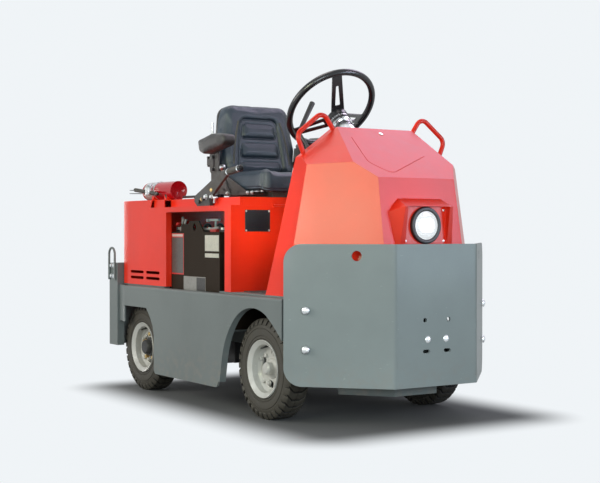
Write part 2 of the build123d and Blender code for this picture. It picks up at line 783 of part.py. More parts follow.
# ================= steering =================
tilt = radians(column_tilt)
column_up = Vector(-sin(tilt), 0, cos(tilt))
wheel_centre = Vector(wheel_x, 0, wheel_z)
hub_point = wheel_centre - column_up * wheel_dish
column_foot = wheel_centre - column_up * column_length
with BuildPart() as steering_column:
    with BuildSketch(Plane(origin=column_foot, z_dir=column_up)):
        Circle(column_radius)
    extrude(amount=column_length - wheel_dish - wheel_hub_height / 2 - run_gap)
    with BuildSketch(Plane(origin=hub_point - column_up * (wheel_hub_height / 2 + run_gap), z_dir=column_up)):
        Circle(collar_radius)
    extrude(amount=-collar_height)
    add(cowl_form(sheet + seat_gap, 700, -12 + seat_gap), mode=Mode.SUBTRACT)
steering_column.part.label = "steering_column"
export_step(steering_column.part, "parts/steering_column.step")

spoke_angles = (107, 227, 347)
spoke_outline = (
    # share of the spoke's run, half width at that place
    (0.10, 31.0), (0.97, 22.0),
)
spoke_window = ((0.30, 12.5), (0.72, 6.5))
with BuildPart(Plane(origin=wheel_centre, x_dir=(0, 1, 0), z_dir=column_up)) as steering_wheel:
    Torus(wheel_rim_radius, wheel_rim_tube)
    with Locations((0, 0, -wheel_dish)):
        Cylinder(wheel_hub_radius, wheel_hub_height)
    for angle in spoke_angles:
        a = radians(angle)
        out = Vector(0, cos(a), 0) + Vector(cos(tilt), 0, sin(tilt)) * sin(a)
        along = (out * wheel_rim_radius + column_up * wheel_dish).normalized()
        face = along.cross(column_up.cross(out).normalized())
        run = hypot(wheel_rim_radius, wheel_dish)
        with BuildSketch(Plane(origin=hub_point, x_dir=along, z_dir=face)) as spoke:
            for outline, mode in ((spoke_outline, Mode.ADD), (spoke_window, Mode.SUBTRACT)):
                (near, near_half), (far, far_half) = outline
                with BuildLine(mode=Mode.PRIVATE) as edge:
                    Polyline((near * run, -near_half), (far * run, -far_half), (far * run, far_half),
                             (near * run, near_half), close=True)
                make_face(edge.edges(), mode=mode)
            window = spoke.vertices().filter_by(
                lambda v: spoke_window[0][1] + 1 > abs(spoke.workplanes[0].to_local_coords(v).Y)
            )
            fillet(window, 4)
        extrude(amount=spoke_plate / 2, both=True)
steering_wheel.part.label = "steering_wheel"
export_step(steering_wheel.part, "parts/steering_wheel.step")

lever_x = front_axle_x + 42.0
with BuildPart() as direction_lever:
    with BuildLine() as lever_path:
        FilletPolyline(
            (lever_x + 102, -280, shoulder_z - 16), (lever_x + 10, -305, shoulder_z + 104),
            (lever_x, -231, shoulder_z + 230), radius=30,
        )
    with BuildSketch(lever_path.line ^ 0):
        Circle(6)
    sweep()
    grip_foot = Vector(lever_x + 8.6, -294.5, shoulder_z + 121.9)
    grip_dir = (Vector(lever_x, -231, shoulder_z + 230) - grip_foot).normalized()
    with BuildSketch(Plane(origin=grip_foot, z_dir=grip_dir)):
        Circle(8.5)
    extrude(amount=128, taper=-1.4)
    fillet(direction_lever.edges().group_by(Axis.Z)[-1], 6)
    add(cowl_form(sheet + seat_gap, 700, -12 + seat_gap), mode=Mode.SUBTRACT)
direction_lever.part.label = "direction_lever"
export_step(direction_lever.part, "parts/direction_lever.step")

pedal_width = 90.0
pedal_x = front_axle_x + 152.0
with BuildPart() as pedals:
    for y in (-150.0, 110.0):
        with BuildSketch(Plane.XZ.offset(-y - pedal_width / 2)):
            with BuildLine():
                Polyline(
                    (pedal_x, deck_base_z), (pedal_x + 100, deck_base_z), (pedal_x + 100, deck_base_z + 12),
                    (pedal_x + 40, deck_base_z + 30), (pedal_x + 160, deck_base_z + 165),
                    (pedal_x + 148, deck_base_z + 172), (pedal_x + 12, deck_base_z + 26),
                    (pedal_x, deck_base_z + 12),
                    close=True,
                )
            make_face()
        extrude(amount=pedal_width)
pedals.part.label = "pedals"
export_step(pedals.part, "parts/pedals.step")

# ================= seat =================
cushion_base_z = 956.0
back_lean = radians(8.0)
back_half = 45.0
back_plane = Plane(
    origin=(seat_x - 215, 0, cushion_base_z + 74),
    x_dir=(0, 1, 0),
    z_dir=(cos(back_lean), 0, sin(back_lean)),
)
seat_slide = 90.0
post_foot_z = deck_z + 137.0
with BuildPart() as seat_frame:
    with BuildSketch(Plane.XY.offset(deck_z)):
        with Locations((seat_x - 5, 0)):
            Rectangle(400, 2 * (seat_half - seat_slide + 12))
    extrude(amount=cushion_base_z - deck_z - seat_gap)
    for side in (-1, 1):
        with BuildSketch(Plane.XZ.offset(-side * seat_half)) as side_plate:
            with BuildLine():
                Polyline(
                    (seat_x - 240, deck_z + 18), (seat_x + 115, deck_z + 18), (seat_x + 75, deck_z + 42),
                    (seat_x - 115, deck_z + 120), (seat_x - 168, post_foot_z), (seat_x - 164, post_foot_z + 75),
                    (seat_x - 170, seat_post_top_z), (seat_x - 246, seat_post_top_z),
                    (seat_x - 254, post_foot_z + 75), (seat_x - 254, post_foot_z + 60),
                    (seat_x - 281, post_foot_z + 60), (seat_x - 281, post_foot_z + 30),
                    (seat_x - 254, post_foot_z + 30), (seat_x - 251, post_foot_z), (seat_x - 240, post_foot_z - 10),
                    close=True,
                )
            make_face()
            with Locations((seat_x - 212, post_foot_z + 38)):
                SlotOverall(56, 12, rotation=90, mode=Mode.SUBTRACT)
        extrude(amount=side * 6)
        with BuildSketch(Plane.XY.offset(deck_z + 18)):
            with Locations((seat_x - 5, side * (seat_half + 7 - seat_slide / 2))):
                Rectangle(300, seat_slide)
        extrude(amount=12)
    with BuildSketch(back_plane.offset(-back_half - seat_gap)):
        with Locations((0, 80)):
            Rectangle(2 * seat_half, 50)
    extrude(amount=-8)
seat_frame.part.label = "seat_frame"
export_step(seat_frame.part, "parts/seat_frame.step")

with BuildPart() as seat_cushion:
    with BuildSketch(Plane.XY.offset(cushion_base_z)):
        with Locations((seat_x, 0)):
            RectangleRounded(445, 2 * seat_half - 16, 60)
    extrude(amount=72)
    fillet(seat_cushion.faces().sort_by(Axis.Z)[-1].edges(), 28)
seat_cushion.part.label = "seat_cushion"
export_step(seat_cushion.part, "parts/seat_cushion.step")

with BuildPart() as seat_back:
    with BuildSketch(back_plane) as back_outline:
        with BuildLine():
            back_top = 349.0
            Polyline(
                (-seat_half + 50, 3), (-seat_half + 31, 130), (-seat_half + 62, back_top),
                (seat_half - 62, back_top), (seat_half - 31, 130), (seat_half - 50, 3),
                close=True,
            )
        make_face()
        fillet(back_outline.vertices().group_by(Axis.Y)[-1], 58)
        fillet(back_outline.vertices().group_by(Axis.Y)[0], 40)
    extrude(amount=back_half, both=True)
    fillet(seat_back.faces().sort_by(Axis.X)[-1].edges(), 18)
seat_back.part.label = "seat_back"
export_step(seat_back.part, "parts/seat_back.step")

with BuildPart() as armrests:
    with BuildSketch(Plane.XZ.offset(seat_half + seat_gap)):
        with BuildLine():
            Polyline(
                (seat_x - 253, 1200), (seat_x - 239, 1146), (seat_x - 199, 1132), (seat_x - 7, 1166),
                (seat_x + 4, 1190), (seat_x - 7, 1215), (seat_x - 129, 1224), (seat_x - 253, 1200),
            )
        make_face()
    extrude(amount=armrest_thickness)
    mirror(armrests.part, about=Plane.XZ)
armrests.part.label = "armrests"
export_step(armrests.part, "parts/armrests.step")

brake_x = pedestal_x - 280.0
brake_y = -body_face_y + 21.0
with BuildPart() as parking_brake:
    with BuildSketch(Plane.XZ.offset(-brake_y - 14)):
        with BuildLine():
            Polyline(
                (brake_x - 60, rim_z), (brake_x + 60, rim_z), (brake_x + 50, rim_z + 30),
                (brake_x + 206, rim_z + 130), (brake_x + 200, rim_z + 152), (brake_x + 170, rim_z + 152),
                (brake_x - 80, rim_z + 48), (brake_x - 88, rim_z + 23),
                close=True,
            )
        make_face()
    extrude(amount=14)
    grip_axis = Vector(119, 0, 15).normalized()
    with BuildSketch(Plane(origin=(brake_x + 190, brake_y + 7, rim_z + 140), z_dir=grip_axis)):
        Circle(13)
    extrude(amount=122)
    with BuildSketch(Plane.XZ.offset(-brake_y - 22)):
        with Locations((brake_x, rim_z + 34), (brake_x - 40, rim_z + 20)):
            Circle(9)
    extrude(amount=30)
parking_brake.part.label = "parking_brake"
export_step(parking_brake.part, "parts/parking_brake.step")

bottle_radius = 44.0
bottle_length = 298.0
bottle_x = rear_axle_x - 18.0
bottle_y = -body_face_y + 90.0
bottle_z = deck_z + 1 + bottle_radius
bottle_front_x = bottle_x + bottle_length
valve_x = bottle_x - 72.0
with BuildPart() as extinguisher:
    # turned body: dished foot in front, domed shoulder and valve neck behind
    with BuildSketch(Plane.XY.offset(bottle_z)):
        with BuildLine():
            Polyline((valve_x, bottle_y), (bottle_front_x - 12, bottle_y))
            ThreePointArc((bottle_front_x - 12, bottle_y), (bottle_front_x - 8, bottle_y - 26),
                          (bottle_front_x, bottle_y - bottle_radius + 3))
            Polyline((bottle_front_x, bottle_y - bottle_radius + 3), (bottle_front_x, bottle_y - bottle_radius),
                     (bottle_x, bottle_y - bottle_radius))
            ThreePointArc((bottle_x, bottle_y - bottle_radius), (bottle_x - 24, bottle_y - 32),
                          (bottle_x - 32, bottle_y - 13))
            Polyline((bottle_x - 32, bottle_y - 13), (valve_x, bottle_y - 13), (valve_x, bottle_y))
        make_face()
    revolve(axis=Axis((0, bottle_y, bottle_z), (1, 0, 0)))
    # squeeze levers of the valve, one above the other
    for lift in (-9, 7):
        with BuildSketch(Plane.XY.offset(bottle_z + lift)):
            with BuildLine():
                Polyline(
                    (valve_x - 6, bottle_y + 12), (valve_x + 24, bottle_y + 8), (valve_x + 24, bottle_y - 14),
                    (valve_x + 4, bottle_y - 74), (valve_x - 14, bottle_y - 74),
                    close=True,
                )
            make_face()
        extrude(amount=3)
extinguisher.part.label = "extinguisher"
export_step(extinguisher.part, "parts/extinguisher.step")

strap_x = bottle_x + 94.0
strap_width = 24.0
latch_y = bottle_y - bottle_radius - 18
with BuildPart() as bottle_cradle:
    for x in (bottle_x + 226, strap_x):
        with BuildSketch(Plane.YZ.offset(x)):
            with Locations((bottle_y, deck_z + 15)):
                Rectangle(80, 30)
            if x == strap_x:
                with Locations((bottle_y, bottle_z)):
                    Circle(bottle_radius + seat_gap + 2)
                with Locations((latch_y + 10, bottle_z - 4)):
                    Rectangle(20, 26)
            with Locations((bottle_y, bottle_z)):
                Circle(bottle_radius + seat_gap, mode=Mode.SUBTRACT)
            with Locations((bottle_y, deck_z - 30)):
                Rectangle(120, 60, mode=Mode.SUBTRACT)
        extrude(amount=strap_width)
    # over-centre latch bar on the strap
    latch_axis = Vector(290, 0, -30).normalized()
    with BuildSketch(Plane(origin=(strap_x - 144, latch_y, bottle_z + 10), z_dir=latch_axis)):
        Circle(8)
    extrude(amount=250)
    with BuildSketch(Plane.XY.offset(deck_z)):
        with Locations(((strap_x + bottle_x + 226 + strap_width) / 2, bottle_y)):
            Rectangle(bottle_x + 226 - strap_x, 30)
    extrude(amount=3)
    with BuildSketch(Plane.YZ.offset(strap_x - 20)):
        with Locations((bottle_y, bottle_z)):
            Circle(bottle_radius + seat_gap)
    extrude(amount=bottle_length, mode=Mode.SUBTRACT)
bottle_cradle.part.label = "bottle_cradle"
export_step(bottle_cradle.part, "parts/bottle_cradle.step")

# ================= running gear =================
# wheel profiles are drawn about the axle line: radius, distance outwards from the wheel's mid-plane
disc_y = half_width - rim_dish_depth
bead_y = half_width - 6
cap_y = half_width - hub_cap_face
barrel_radius = bead_radius - rim_wall
disc_plate = 6.0
hole_table = ((0, 56), (90, 42), (180, 56), (270, 42))
hole_line = 11.0
with BuildPart() as rim_form:
    with BuildSketch(Plane.XY):
        with BuildLine():
            Polyline(
                (0, cap_y),
                (hub_cap_radius - 6, cap_y),
                (hub_cap_radius, cap_y - 6),
                (hub_cap_radius, disc_y + 8),
                (hub_radius, disc_y + 4),
                (hub_radius + 3, disc_y),
                (barrel_radius - 12, disc_y),
                (barrel_radius, disc_y + 12),
                (barrel_radius, bead_y - 6),
                (rim_flange_radius - 3, half_width + 1),
                (rim_flange_radius, half_width - 4),
                (rim_flange_radius - 2, half_width - 8),
                (bead_radius, bead_y - 10),
                (bead_radius, -bead_y + 10),
                (rim_flange_radius - 2, -half_width + 8),
                (rim_flange_radius, -half_width + 4),
                (rim_flange_radius - 3, -half_width - 1),
                (barrel_radius, -bead_y + 6),
                (barrel_radius, disc_y - disc_plate),
                (hub_radius + 5, disc_y - disc_plate),
                (hub_radius, disc_y - 18),
                (spindle_radius + run_gap, disc_y - 18),
                (spindle_radius + run_gap, disc_y + 16),
                (0, disc_y + 16),
                close=True,
            )
        make_face()
    revolve(axis=Axis.Y)
    with BuildSketch(Plane.XZ.offset(-disc_y - 2)):
        for angle, length in hole_table:
            with PolarLocations(67, 1, start_angle=hole_line + angle):
                RectangleRounded(28, length, 11)
    extrude(amount=disc_plate + 4, mode=Mode.SUBTRACT)


def lug_ring(share):
    """Outline of the lugs seen along the axle, at a share of full size; each has two root and two crest corners."""
    pitch = 360 / lug_count
    # the tyre stands on the edges of two neighbouring lugs
    crest = tyre_radius / cos(radians((1 - lug_share) * pitch / 2))
    corners = []
    for i in range(lug_count):
        for turn, radius in ((-0.56, tread_floor), (-0.5, crest), (0.5, crest), (0.56, tread_floor)):
            a = radians((i + turn * lug_share) * pitch)
            corners.append((share * radius * cos(a), share * radius * sin(a)))
    return corners


tread_floor = tyre_radius - lug_depth
shoulder_share = (tyre_radius - lug_wrap) / tyre_radius
# lug rows: distance from the mid-plane, share of the full outline
lug_rows = (
    (-half_width, shoulder_share),
    (-half_width + tyre_shoulder, 1.0),
    (half_width - tyre_shoulder, 1.0),
    (half_width, shoulder_share),
)
# bead recess in the sidewall: depth below the sidewall, radius across corners
bead_steps = ((0.0, rim_flange_radius + 7), (10.0, rim_flange_radius + 1.8), (19.0, bead_radius + 0.8))
with BuildPart() as tyre_form:
    # lugs run straight across the tread and draw in over the shoulders, all in flat faces
    for y, share in lug_rows:
        with BuildSketch(Plane.XZ.offset(-y)):
            Polygon(*lug_ring(share), align=None)
    loft(ruled=True)
    # bore, then the bead recess of each side
    with BuildSketch(Plane.XZ.offset(-half_width)):
        RegularPolygon(bead_steps[-1][1], lug_count)
    extrude(amount=2 * half_width, mode=Mode.SUBTRACT)
    for side in (-1, 1):
        for y, radius in bead_steps:
            with BuildSketch(Plane.XZ.offset(side * (y - half_width))):
                RegularPolygon(radius, lug_count)
        loft(ruled=True, mode=Mode.SUBTRACT)

wheel_places = (
    ("front_right", front_axle_x, -1),
    ("front_left", front_axle_x, 1),
    ("rear_right", rear_axle_x, -1),
    ("rear_left", rear_axle_x, 1),
)
for place, axle_x, side in wheel_places:
    spot = Location((axle_x, side * wheel_plane_y, tyre_radius), (0, 0, 0 if side > 0 else 180))
    with BuildPart() as rim:
        add(rim_form.part.moved(spot))
    rim.part.label = f"rim_{place}"
    export_step(rim.part, f"parts/rim_{place}.step")
    with BuildPart() as tyre:
        add(tyre_form.part.moved(spot))
    tyre.part.label = f"tyre_{place}"
    export_step(tyre.part, f"parts/tyre_{place}.step")

eye_half = 26.0
yoke_plate = 14.0
beam_half = 22.0
arm_z = tyre_radius - 62
with BuildPart() as front_axle:
    with BuildSketch(Plane.XY.offset(tyre_radius - beam_half)):
        with Locations((front_axle_x, 0)):
            Rectangle(56, 2 * (kingpin_y - 14))
        with Locations((front_axle_x, kingpin_y), (front_axle_x, -kingpin_y)):
            Circle(24)
        with Locations((front_axle_x, kingpin_y), (front_axle_x, -kingpin_y)):
            Circle(kingpin_radius + run_gap, mode=Mode.SUBTRACT)
    extrude(amount=2 * beam_half)
    with BuildSketch(Plane.XY.offset(tyre_radius + beam_half)):
        with Locations((front_axle_x, rail_y), (front_axle_x, -rail_y)):
            Rectangle(90, rail_width)
    extrude(amount=rail_bottom_z - tyre_radius - beam_half)
front_axle.part.label = "front_axle"
export_step(front_axle.part, "parts/front_axle.step")

yoke_gap = 0.3
wheel_disc_y = wheel_plane_y + disc_y
hub_inner_y = wheel_disc_y - 18
with BuildPart() as knuckle_right:
    yoke_low = tyre_radius - beam_half - yoke_gap - yoke_plate
    yoke_high = tyre_radius + beam_half + yoke_gap
    for z in (yoke_low, yoke_high):
        with BuildSketch(Plane.XY.offset(z)):
            with Locations((front_axle_x, -kingpin_y)):
                Circle(24)
            with Locations((front_axle_x, -kingpin_y - 14)):
                Rectangle(48, 28)
        extrude(amount=yoke_plate)
    with BuildSketch(Plane.XY.offset(yoke_low)):
        with Locations((front_axle_x, -kingpin_y)):
            Circle(kingpin_radius)
    extrude(amount=2 * beam_half + 2 * yoke_plate + 2 * yoke_gap)
    with BuildSketch(Plane.XY.offset(yoke_low)):
        with Locations((front_axle_x, -kingpin_y - 24.5 - 0.3 - 3.5)):
            Rectangle(48, 7)
    extrude(amount=2 * beam_half + 2 * yoke_plate + 2 * yoke_gap)
    with BuildSketch(Plane.XZ.offset(kingpin_y + 26)):
        with Locations((front_axle_x, tyre_radius)):
            Circle(spindle_radius)
    extrude(amount=wheel_disc_y + 14 - kingpin_y - 26)
    with BuildSketch(Plane.XY.offset(yoke_low)):
        with Locations((front_axle_x - steering_arm / 2, -kingpin_y)):
            Rectangle(steering_arm, 24)
        with Locations((front_axle_x - steering_arm, -kingpin_y)):
            Circle(13)
    extrude(amount=12)
    with BuildSketch(Plane.XY.offset(yoke_low)):
        with Locations((front_axle_x - steering_arm, -kingpin_y)):
            Circle(7)
    extrude(amount=40)
knuckle_right.part.label = "knuckle_right"
export_step(knuckle_right.part, "parts/knuckle_right.step")

with BuildPart() as knuckle_left:
    mirror(knuckle_right.part, about=Plane.XZ)
knuckle_left.part.label = "knuckle_left"
export_step(knuckle_left.part, "parts/knuckle_left.step")

rod_y = kingpin_y
rod_x = front_axle_x - steering_arm
rod_z = yoke_low + 12 + seat_gap
with BuildPart() as tie_rod:
    with BuildSketch(Plane.XY.offset(rod_z)):
        with Locations((rod_x, 0)):
            Rectangle(16, 2 * (rod_y - 10))
        with Locations((rod_x, rod_y), (rod_x, -rod_y)):
            Circle(13)
        with Locations((rod_x, rod_y), (rod_x, -rod_y)):
            Circle(7 + run_gap, mode=Mode.SUBTRACT)
    extrude(amount=18)
tie_rod.part.label = "tie_rod"
export_step(tie_rod.part, "parts/tie_rod.step")

with BuildPart() as rear_axle:
    with BuildSketch(Plane.XZ.offset(-wheel_disc_y + 22)):
        with Locations((rear_axle_x, tyre_radius)):
            Circle(36)
    extrude(amount=2 * (wheel_disc_y - 22))
    with BuildSketch(Plane.XZ.offset(-wheel_disc_y - 14)):
        with Locations((rear_axle_x, tyre_radius)):
            Circle(spindle_radius)
    extrude(amount=2 * (wheel_disc_y + 14))
    with BuildSketch(Plane.XZ.offset(-70)):
        with Locations((rear_axle_x, tyre_radius)):
            Circle(105)
        with Locations((rear_axle_x + 120, tyre_radius - 18)):
            Rectangle(240, 120)
    extrude(amount=140)
    with BuildSketch(Plane.XY.offset(tyre_radius)):
        with Locations((rear_axle_x, rail_y), (rear_axle_x, -rail_y)):
            Rectangle(80, rail_width)
    extrude(amount=rail_bottom_z - tyre_radius)
rear_axle.part.label = "rear_axle"
export_step(rear_axle.part, "parts/rear_axle.step")
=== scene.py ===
import bmesh
import bpy
import json
from math import cos, pi, radians, sin, sqrt, tau
from bpy.props import FloatProperty, FloatVectorProperty, IntProperty, PointerProperty
from mathutils import Matrix, Vector
from mathutils.bvhtree import BVHTree


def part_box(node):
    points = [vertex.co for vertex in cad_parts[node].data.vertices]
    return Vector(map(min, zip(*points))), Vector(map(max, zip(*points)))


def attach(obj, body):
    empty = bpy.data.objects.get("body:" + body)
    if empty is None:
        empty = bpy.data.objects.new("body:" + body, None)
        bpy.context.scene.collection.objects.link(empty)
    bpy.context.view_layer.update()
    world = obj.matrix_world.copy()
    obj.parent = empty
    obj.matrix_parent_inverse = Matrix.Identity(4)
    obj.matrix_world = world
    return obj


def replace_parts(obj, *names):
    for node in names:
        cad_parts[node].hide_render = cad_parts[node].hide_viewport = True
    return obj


bl_info = {
    "name": "Baggage Tug Dressing",
    "version": (1, 0, 0),
    "blender": (4, 5, 0),
    "location": "View3D > Sidebar > Baggage Tug",
    "description": "Paint, tyres, seat, battery and fittings for a packed baggage tug",
    "category": "Object",
}

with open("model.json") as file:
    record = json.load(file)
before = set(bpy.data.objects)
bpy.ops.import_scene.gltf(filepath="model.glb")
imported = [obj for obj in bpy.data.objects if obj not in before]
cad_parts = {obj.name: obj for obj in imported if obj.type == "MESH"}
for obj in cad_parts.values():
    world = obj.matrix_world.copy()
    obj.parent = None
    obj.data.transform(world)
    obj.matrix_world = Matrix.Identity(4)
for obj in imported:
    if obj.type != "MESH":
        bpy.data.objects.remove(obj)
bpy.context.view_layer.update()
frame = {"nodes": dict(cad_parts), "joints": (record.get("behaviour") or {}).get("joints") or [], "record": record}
JOINT = {joint["name"]: joint for joint in frame["joints"]}
WHEELS = ("front_right", "front_left", "rear_right", "rear_left")

UP = Vector((0, 0, 1))
RIGHT = Vector((0, -1, 0))
AHEAD = Vector((1, 0, 0))
BATTERY_TOP = 0.768     # height of the battery's upper face


# ---------------------------------------------------------------- shader sums

def feed(tree, slot, value):
    """Links a wire to a socket, or sets the socket to a plain value."""
    if isinstance(value, Wire):
        tree.links.new(value.socket, slot)
    else:
        slot.default_value = value


class Wire:
    """A shader socket that can stand in a Python sum."""

    def __init__(self, tree, socket):
        self.tree = tree
        self.socket = socket

    def _sum(self, operation, other, flipped=False):
        node = self.tree.nodes.new("ShaderNodeMath")
        node.operation = operation
        terms = (other, self) if flipped else (self, other)
        for slot, term in zip(node.inputs, terms):
            feed(self.tree, slot, term)
        return Wire(self.tree, node.outputs[0])

    def __add__(self, other):
        return self._sum("ADD", other)

    def __radd__(self, other):
        return self._sum("ADD", other, True)

    def __sub__(self, other):
        return self._sum("SUBTRACT", other)

    def __rsub__(self, other):
        return self._sum("SUBTRACT", other, True)

    def __mul__(self, other):
        return self._sum("MULTIPLY", other)

    def __rmul__(self, other):
        return self._sum("MULTIPLY", other, True)

    def __pow__(self, other):
        return self._sum("POWER", other)

    def __abs__(self):
        return self._sum("ABSOLUTE", 0.0)

    def at_least(self, other):
        return self._sum("MAXIMUM", other)

    def at_most(self, other):
        return self._sum("MINIMUM", other)


class Finish:
    """One material: its principled shader and the nodes that vary it."""

    def __init__(self, name, colour, roughness, metallic=0.0, **sockets):
        self.material = bpy.data.materials.new(name)
        self.material.use_nodes = True
        self.material.diffuse_color = (*colour[:3], 1.0)
        self.tree = self.material.node_tree
        self.shader = self.tree.nodes["Principled BSDF"]
        self.set("Base Color", (*colour[:3], 1.0))
        self.set("Roughness", roughness)
        self.set("Metallic", metallic)
        for label, value in sockets.items():
            self.set(label.replace("_", " "), value)
        self._place = None

    def set(self, label, value):
        feed(self.tree, self.shader.inputs[label], value)

    def node(self, kind, settings=None, output=0, **values):
        """Any other node: its type, its settings, then the values or links of its sockets."""
        made = self.tree.nodes.new("ShaderNode" + kind)
        for label, value in (settings or {}).items():
            setattr(made, label, value)
        for label, value in values.items():
            feed(self.tree, made.inputs[label.replace("_", " ")], value)
        return Wire(self.tree, made.outputs[output])

    @property
    def place(self):
        """Coordinates in metres, which stay with the piece."""
        if self._place is None:
            self._place = self.node("TexCoord", output="Object")
        return self._place

    def axis(self, which):
        return self.node("SeparateXYZ", output="XYZ".index(which), Vector=self.place)

    def facing(self, which):
        geometry = self.node("NewGeometry", output="Normal")
        return self.node("SeparateXYZ", output="XYZ".index(which), Vector=geometry)

    def cloud(self, scale, detail=3.0, rough=0.5, stretch=None):
        """Smooth noise, 0 to 1."""
        where = self.place
        if stretch:
            where = self.node("Mapping", Vector=where, Scale=stretch)
        return self.node("TexNoise", Vector=where, Scale=scale, Detail=detail, Roughness=rough)

    def cells(self, scale, feature="F1"):
        """Distance within a net of cells."""
        return self.node("TexVoronoi", {"feature": feature}, output="Distance",
                         Vector=self.place, Scale=scale)

    def waves(self, direction, scale, distortion=0.0):
        """Parallel ribs across one axis, 0 to 1."""
        return self.node("TexWave", {"bands_direction": direction}, output=1,
                         Vector=self.place, Scale=scale, Distortion=distortion)

    def ramp(self, value, low, high):
        """0 below low, 1 above high, a smooth slope between."""
        return self.node(
            "MapRange", {"interpolation_type": "SMOOTHSTEP"},
            Value=value, From_Min=low, From_Max=high, To_Min=0.0, To_Max=1.0,
        )

    def blend(self, mask, first, second):
        """Colour that goes from first to second as the mask rises."""
        mix = self.tree.nodes.new("ShaderNodeMix")
        mix.data_type = "RGBA"
        for slot, value in ((0, mask), (6, first), (7, second)):
            feed(self.tree, mix.inputs[slot], (*value[:3], 1.0) if isinstance(value, tuple) else value)
        return Wire(self.tree, mix.outputs[2])

    def dressed(self, tone, roughness, height, depth):
        """The material with its colour, roughness and surface relief, whose depth is in metres."""
        self.set("Base Color", tone)
        self.set("Roughness", roughness)
        self.set("Normal", self.node("Bump", output="Normal", Height=height, Distance=depth, Strength=1.0))
        return self.material


def seen_by_eye(tree):
    """1 for camera, mirror and see-through rays, 0 for those that only carry light."""
    rays = tree.nodes.new("ShaderNodeLightPath")
    camera, glossy, through = (Wire(tree, rays.outputs["Is %s Ray" % kind])
                               for kind in ("Camera", "Glossy", "Transmission"))
    return camera.at_least(glossy).at_least(through)


def shade(colour, factor):
    """A colour made darker or lighter."""
    return tuple(min(1.0, part * factor) for part in colour[:3])


def sheet_paint(name, colour, roughness, coat, orange_peel, dust, specular):
    """Sprayed paint on sheet steel: orange peel, slight tone drift, dust on what faces up."""
    paint = Finish(name, colour, roughness, Coat_Roughness=0.12, Coat_IOR=1.5, Specular_IOR_Level=specular)
    drift = paint.cloud(3.0, 4.0)
    tone = paint.blend(paint.ramp(drift, 0.3, 0.7), shade(colour, 0.93), shade(colour, 1.06))
    tone = paint.blend(paint.cloud(900.0, 2.0) * 0.10, tone, shade(colour, 0.75))
    upward = paint.ramp(paint.facing("Z"), 0.6, 0.98)
    settled = upward * paint.ramp(paint.cloud(14.0, 6.0), 0.42, 0.75) * dust
    low = (1.0 - paint.ramp(paint.axis("Z"), 0.10, 0.34)) * paint.ramp(paint.cloud(30.0, 5.0), 0.40, 0.72)
    grime = (settled + low * 0.35).at_most(0.6)
    tone = paint.blend(grime, tone, (0.30, 0.27, 0.23))
    scratch = paint.ramp(paint.cloud(60.0, 2.0, 0.4, stretch=(0.12, 1.0, 2.2)), 0.735, 0.76) * 0.35
    tone = paint.blend(scratch, tone, shade(colour, 1.5))
    paint.set("Coat Weight", (1.0 - grime) * coat)
    peel = paint.cloud(260.0, 2.0) * 0.7 + paint.cloud(18.0, 2.0) * 3.0
    rough = roughness + 0.10 * drift + grime * 0.4 + scratch * 0.2
    return paint.dressed(tone, rough, peel, 0.00012 * orange_peel)


def casting(name, colour, roughness):
    """Brush-painted castings and forgings with a sandy skin."""
    metal = Finish(name, colour, roughness)
    patch = metal.ramp(metal.cloud(22.0, 5.0), 0.48, 0.7)
    tone = metal.blend(patch * 0.6, colour, shade(colour, 2.1))
    grain = metal.cloud(420.0, 5.0) + metal.cloud(60.0, 3.0)
    return metal.dressed(tone, roughness + 0.22 * patch, grain, 0.0007)


def tyre_rubber(name, colour):
    """Black rubber with greyer, dustier patches scattered over it."""
    rubber = Finish(name, colour, 0.62)
    patch = rubber.cloud(26.0, 6.0)
    fine = rubber.cloud(700.0, 4.0)
    tone = rubber.blend(rubber.ramp(patch, 0.35, 0.75) * 0.55, colour, shade(colour, 1.5))
    tone = rubber.blend(rubber.ramp(fine, 0.55, 0.8) * 0.35, tone, shade(colour, 2.2))
    return rubber.dressed(tone, 0.52 + 0.3 * patch, fine * 0.6 + patch, 0.0006)


def vinyl(name, colour):
    """Upholstery vinyl with a fine leather grain and a soft shine where it is rubbed."""
    skin = Finish(name, colour, 0.36, Sheen_Weight=0.04, Specular_IOR_Level=0.55)
    pores = skin.ramp(skin.cells(620.0, "DISTANCE_TO_EDGE"), 0.0, 0.22)
    rubbed = skin.ramp(skin.cloud(9.0, 3.0), 0.4, 0.7)
    crease = skin.ramp(skin.cloud(42.0, 3.0, 0.5, stretch=(1.0, 0.35, 1.0)), 0.60, 0.72)
    tone = skin.blend(rubbed * 0.5, colour, shade(colour, 1.45))
    height = pores * 0.35 - crease * 0.4 + skin.cloud(18.0, 2.0)
    return skin.dressed(tone, 0.36 - 0.08 * rubbed + (1.0 - pores) * 0.08, height, 0.00035)


def moulded(name, colour, roughness, grain, depth):
    """Moulded plastic or rubber with a spark-eroded grain."""
    plastic = Finish(name, colour, roughness)
    wear = plastic.ramp(plastic.cloud(16.0, 5.0), 0.5, 0.78)
    tone = plastic.blend(wear * 0.4, colour, shade(colour, 1.9))
    texture = plastic.cells(grain) + plastic.cloud(110.0, 3.0)
    return plastic.dressed(tone, roughness + 0.14 * wear, texture, depth)


def bright_metal(name, colour, roughness, brushed, stain, depth):
    """Bare or plated metal with fine drawing marks and light stains."""
    metal = Finish(name, colour, roughness, metallic=1.0)
    lines = metal.cloud(900.0, 3.0, 0.6, stretch=brushed)
    spots = metal.ramp(metal.cloud(55.0, 5.0), 0.52, 0.74)
    tone = metal.blend(spots * stain, colour, shade(colour, 0.55))
    return metal.dressed(tone, roughness + 0.12 * lines + spots * 0.18, lines, depth)


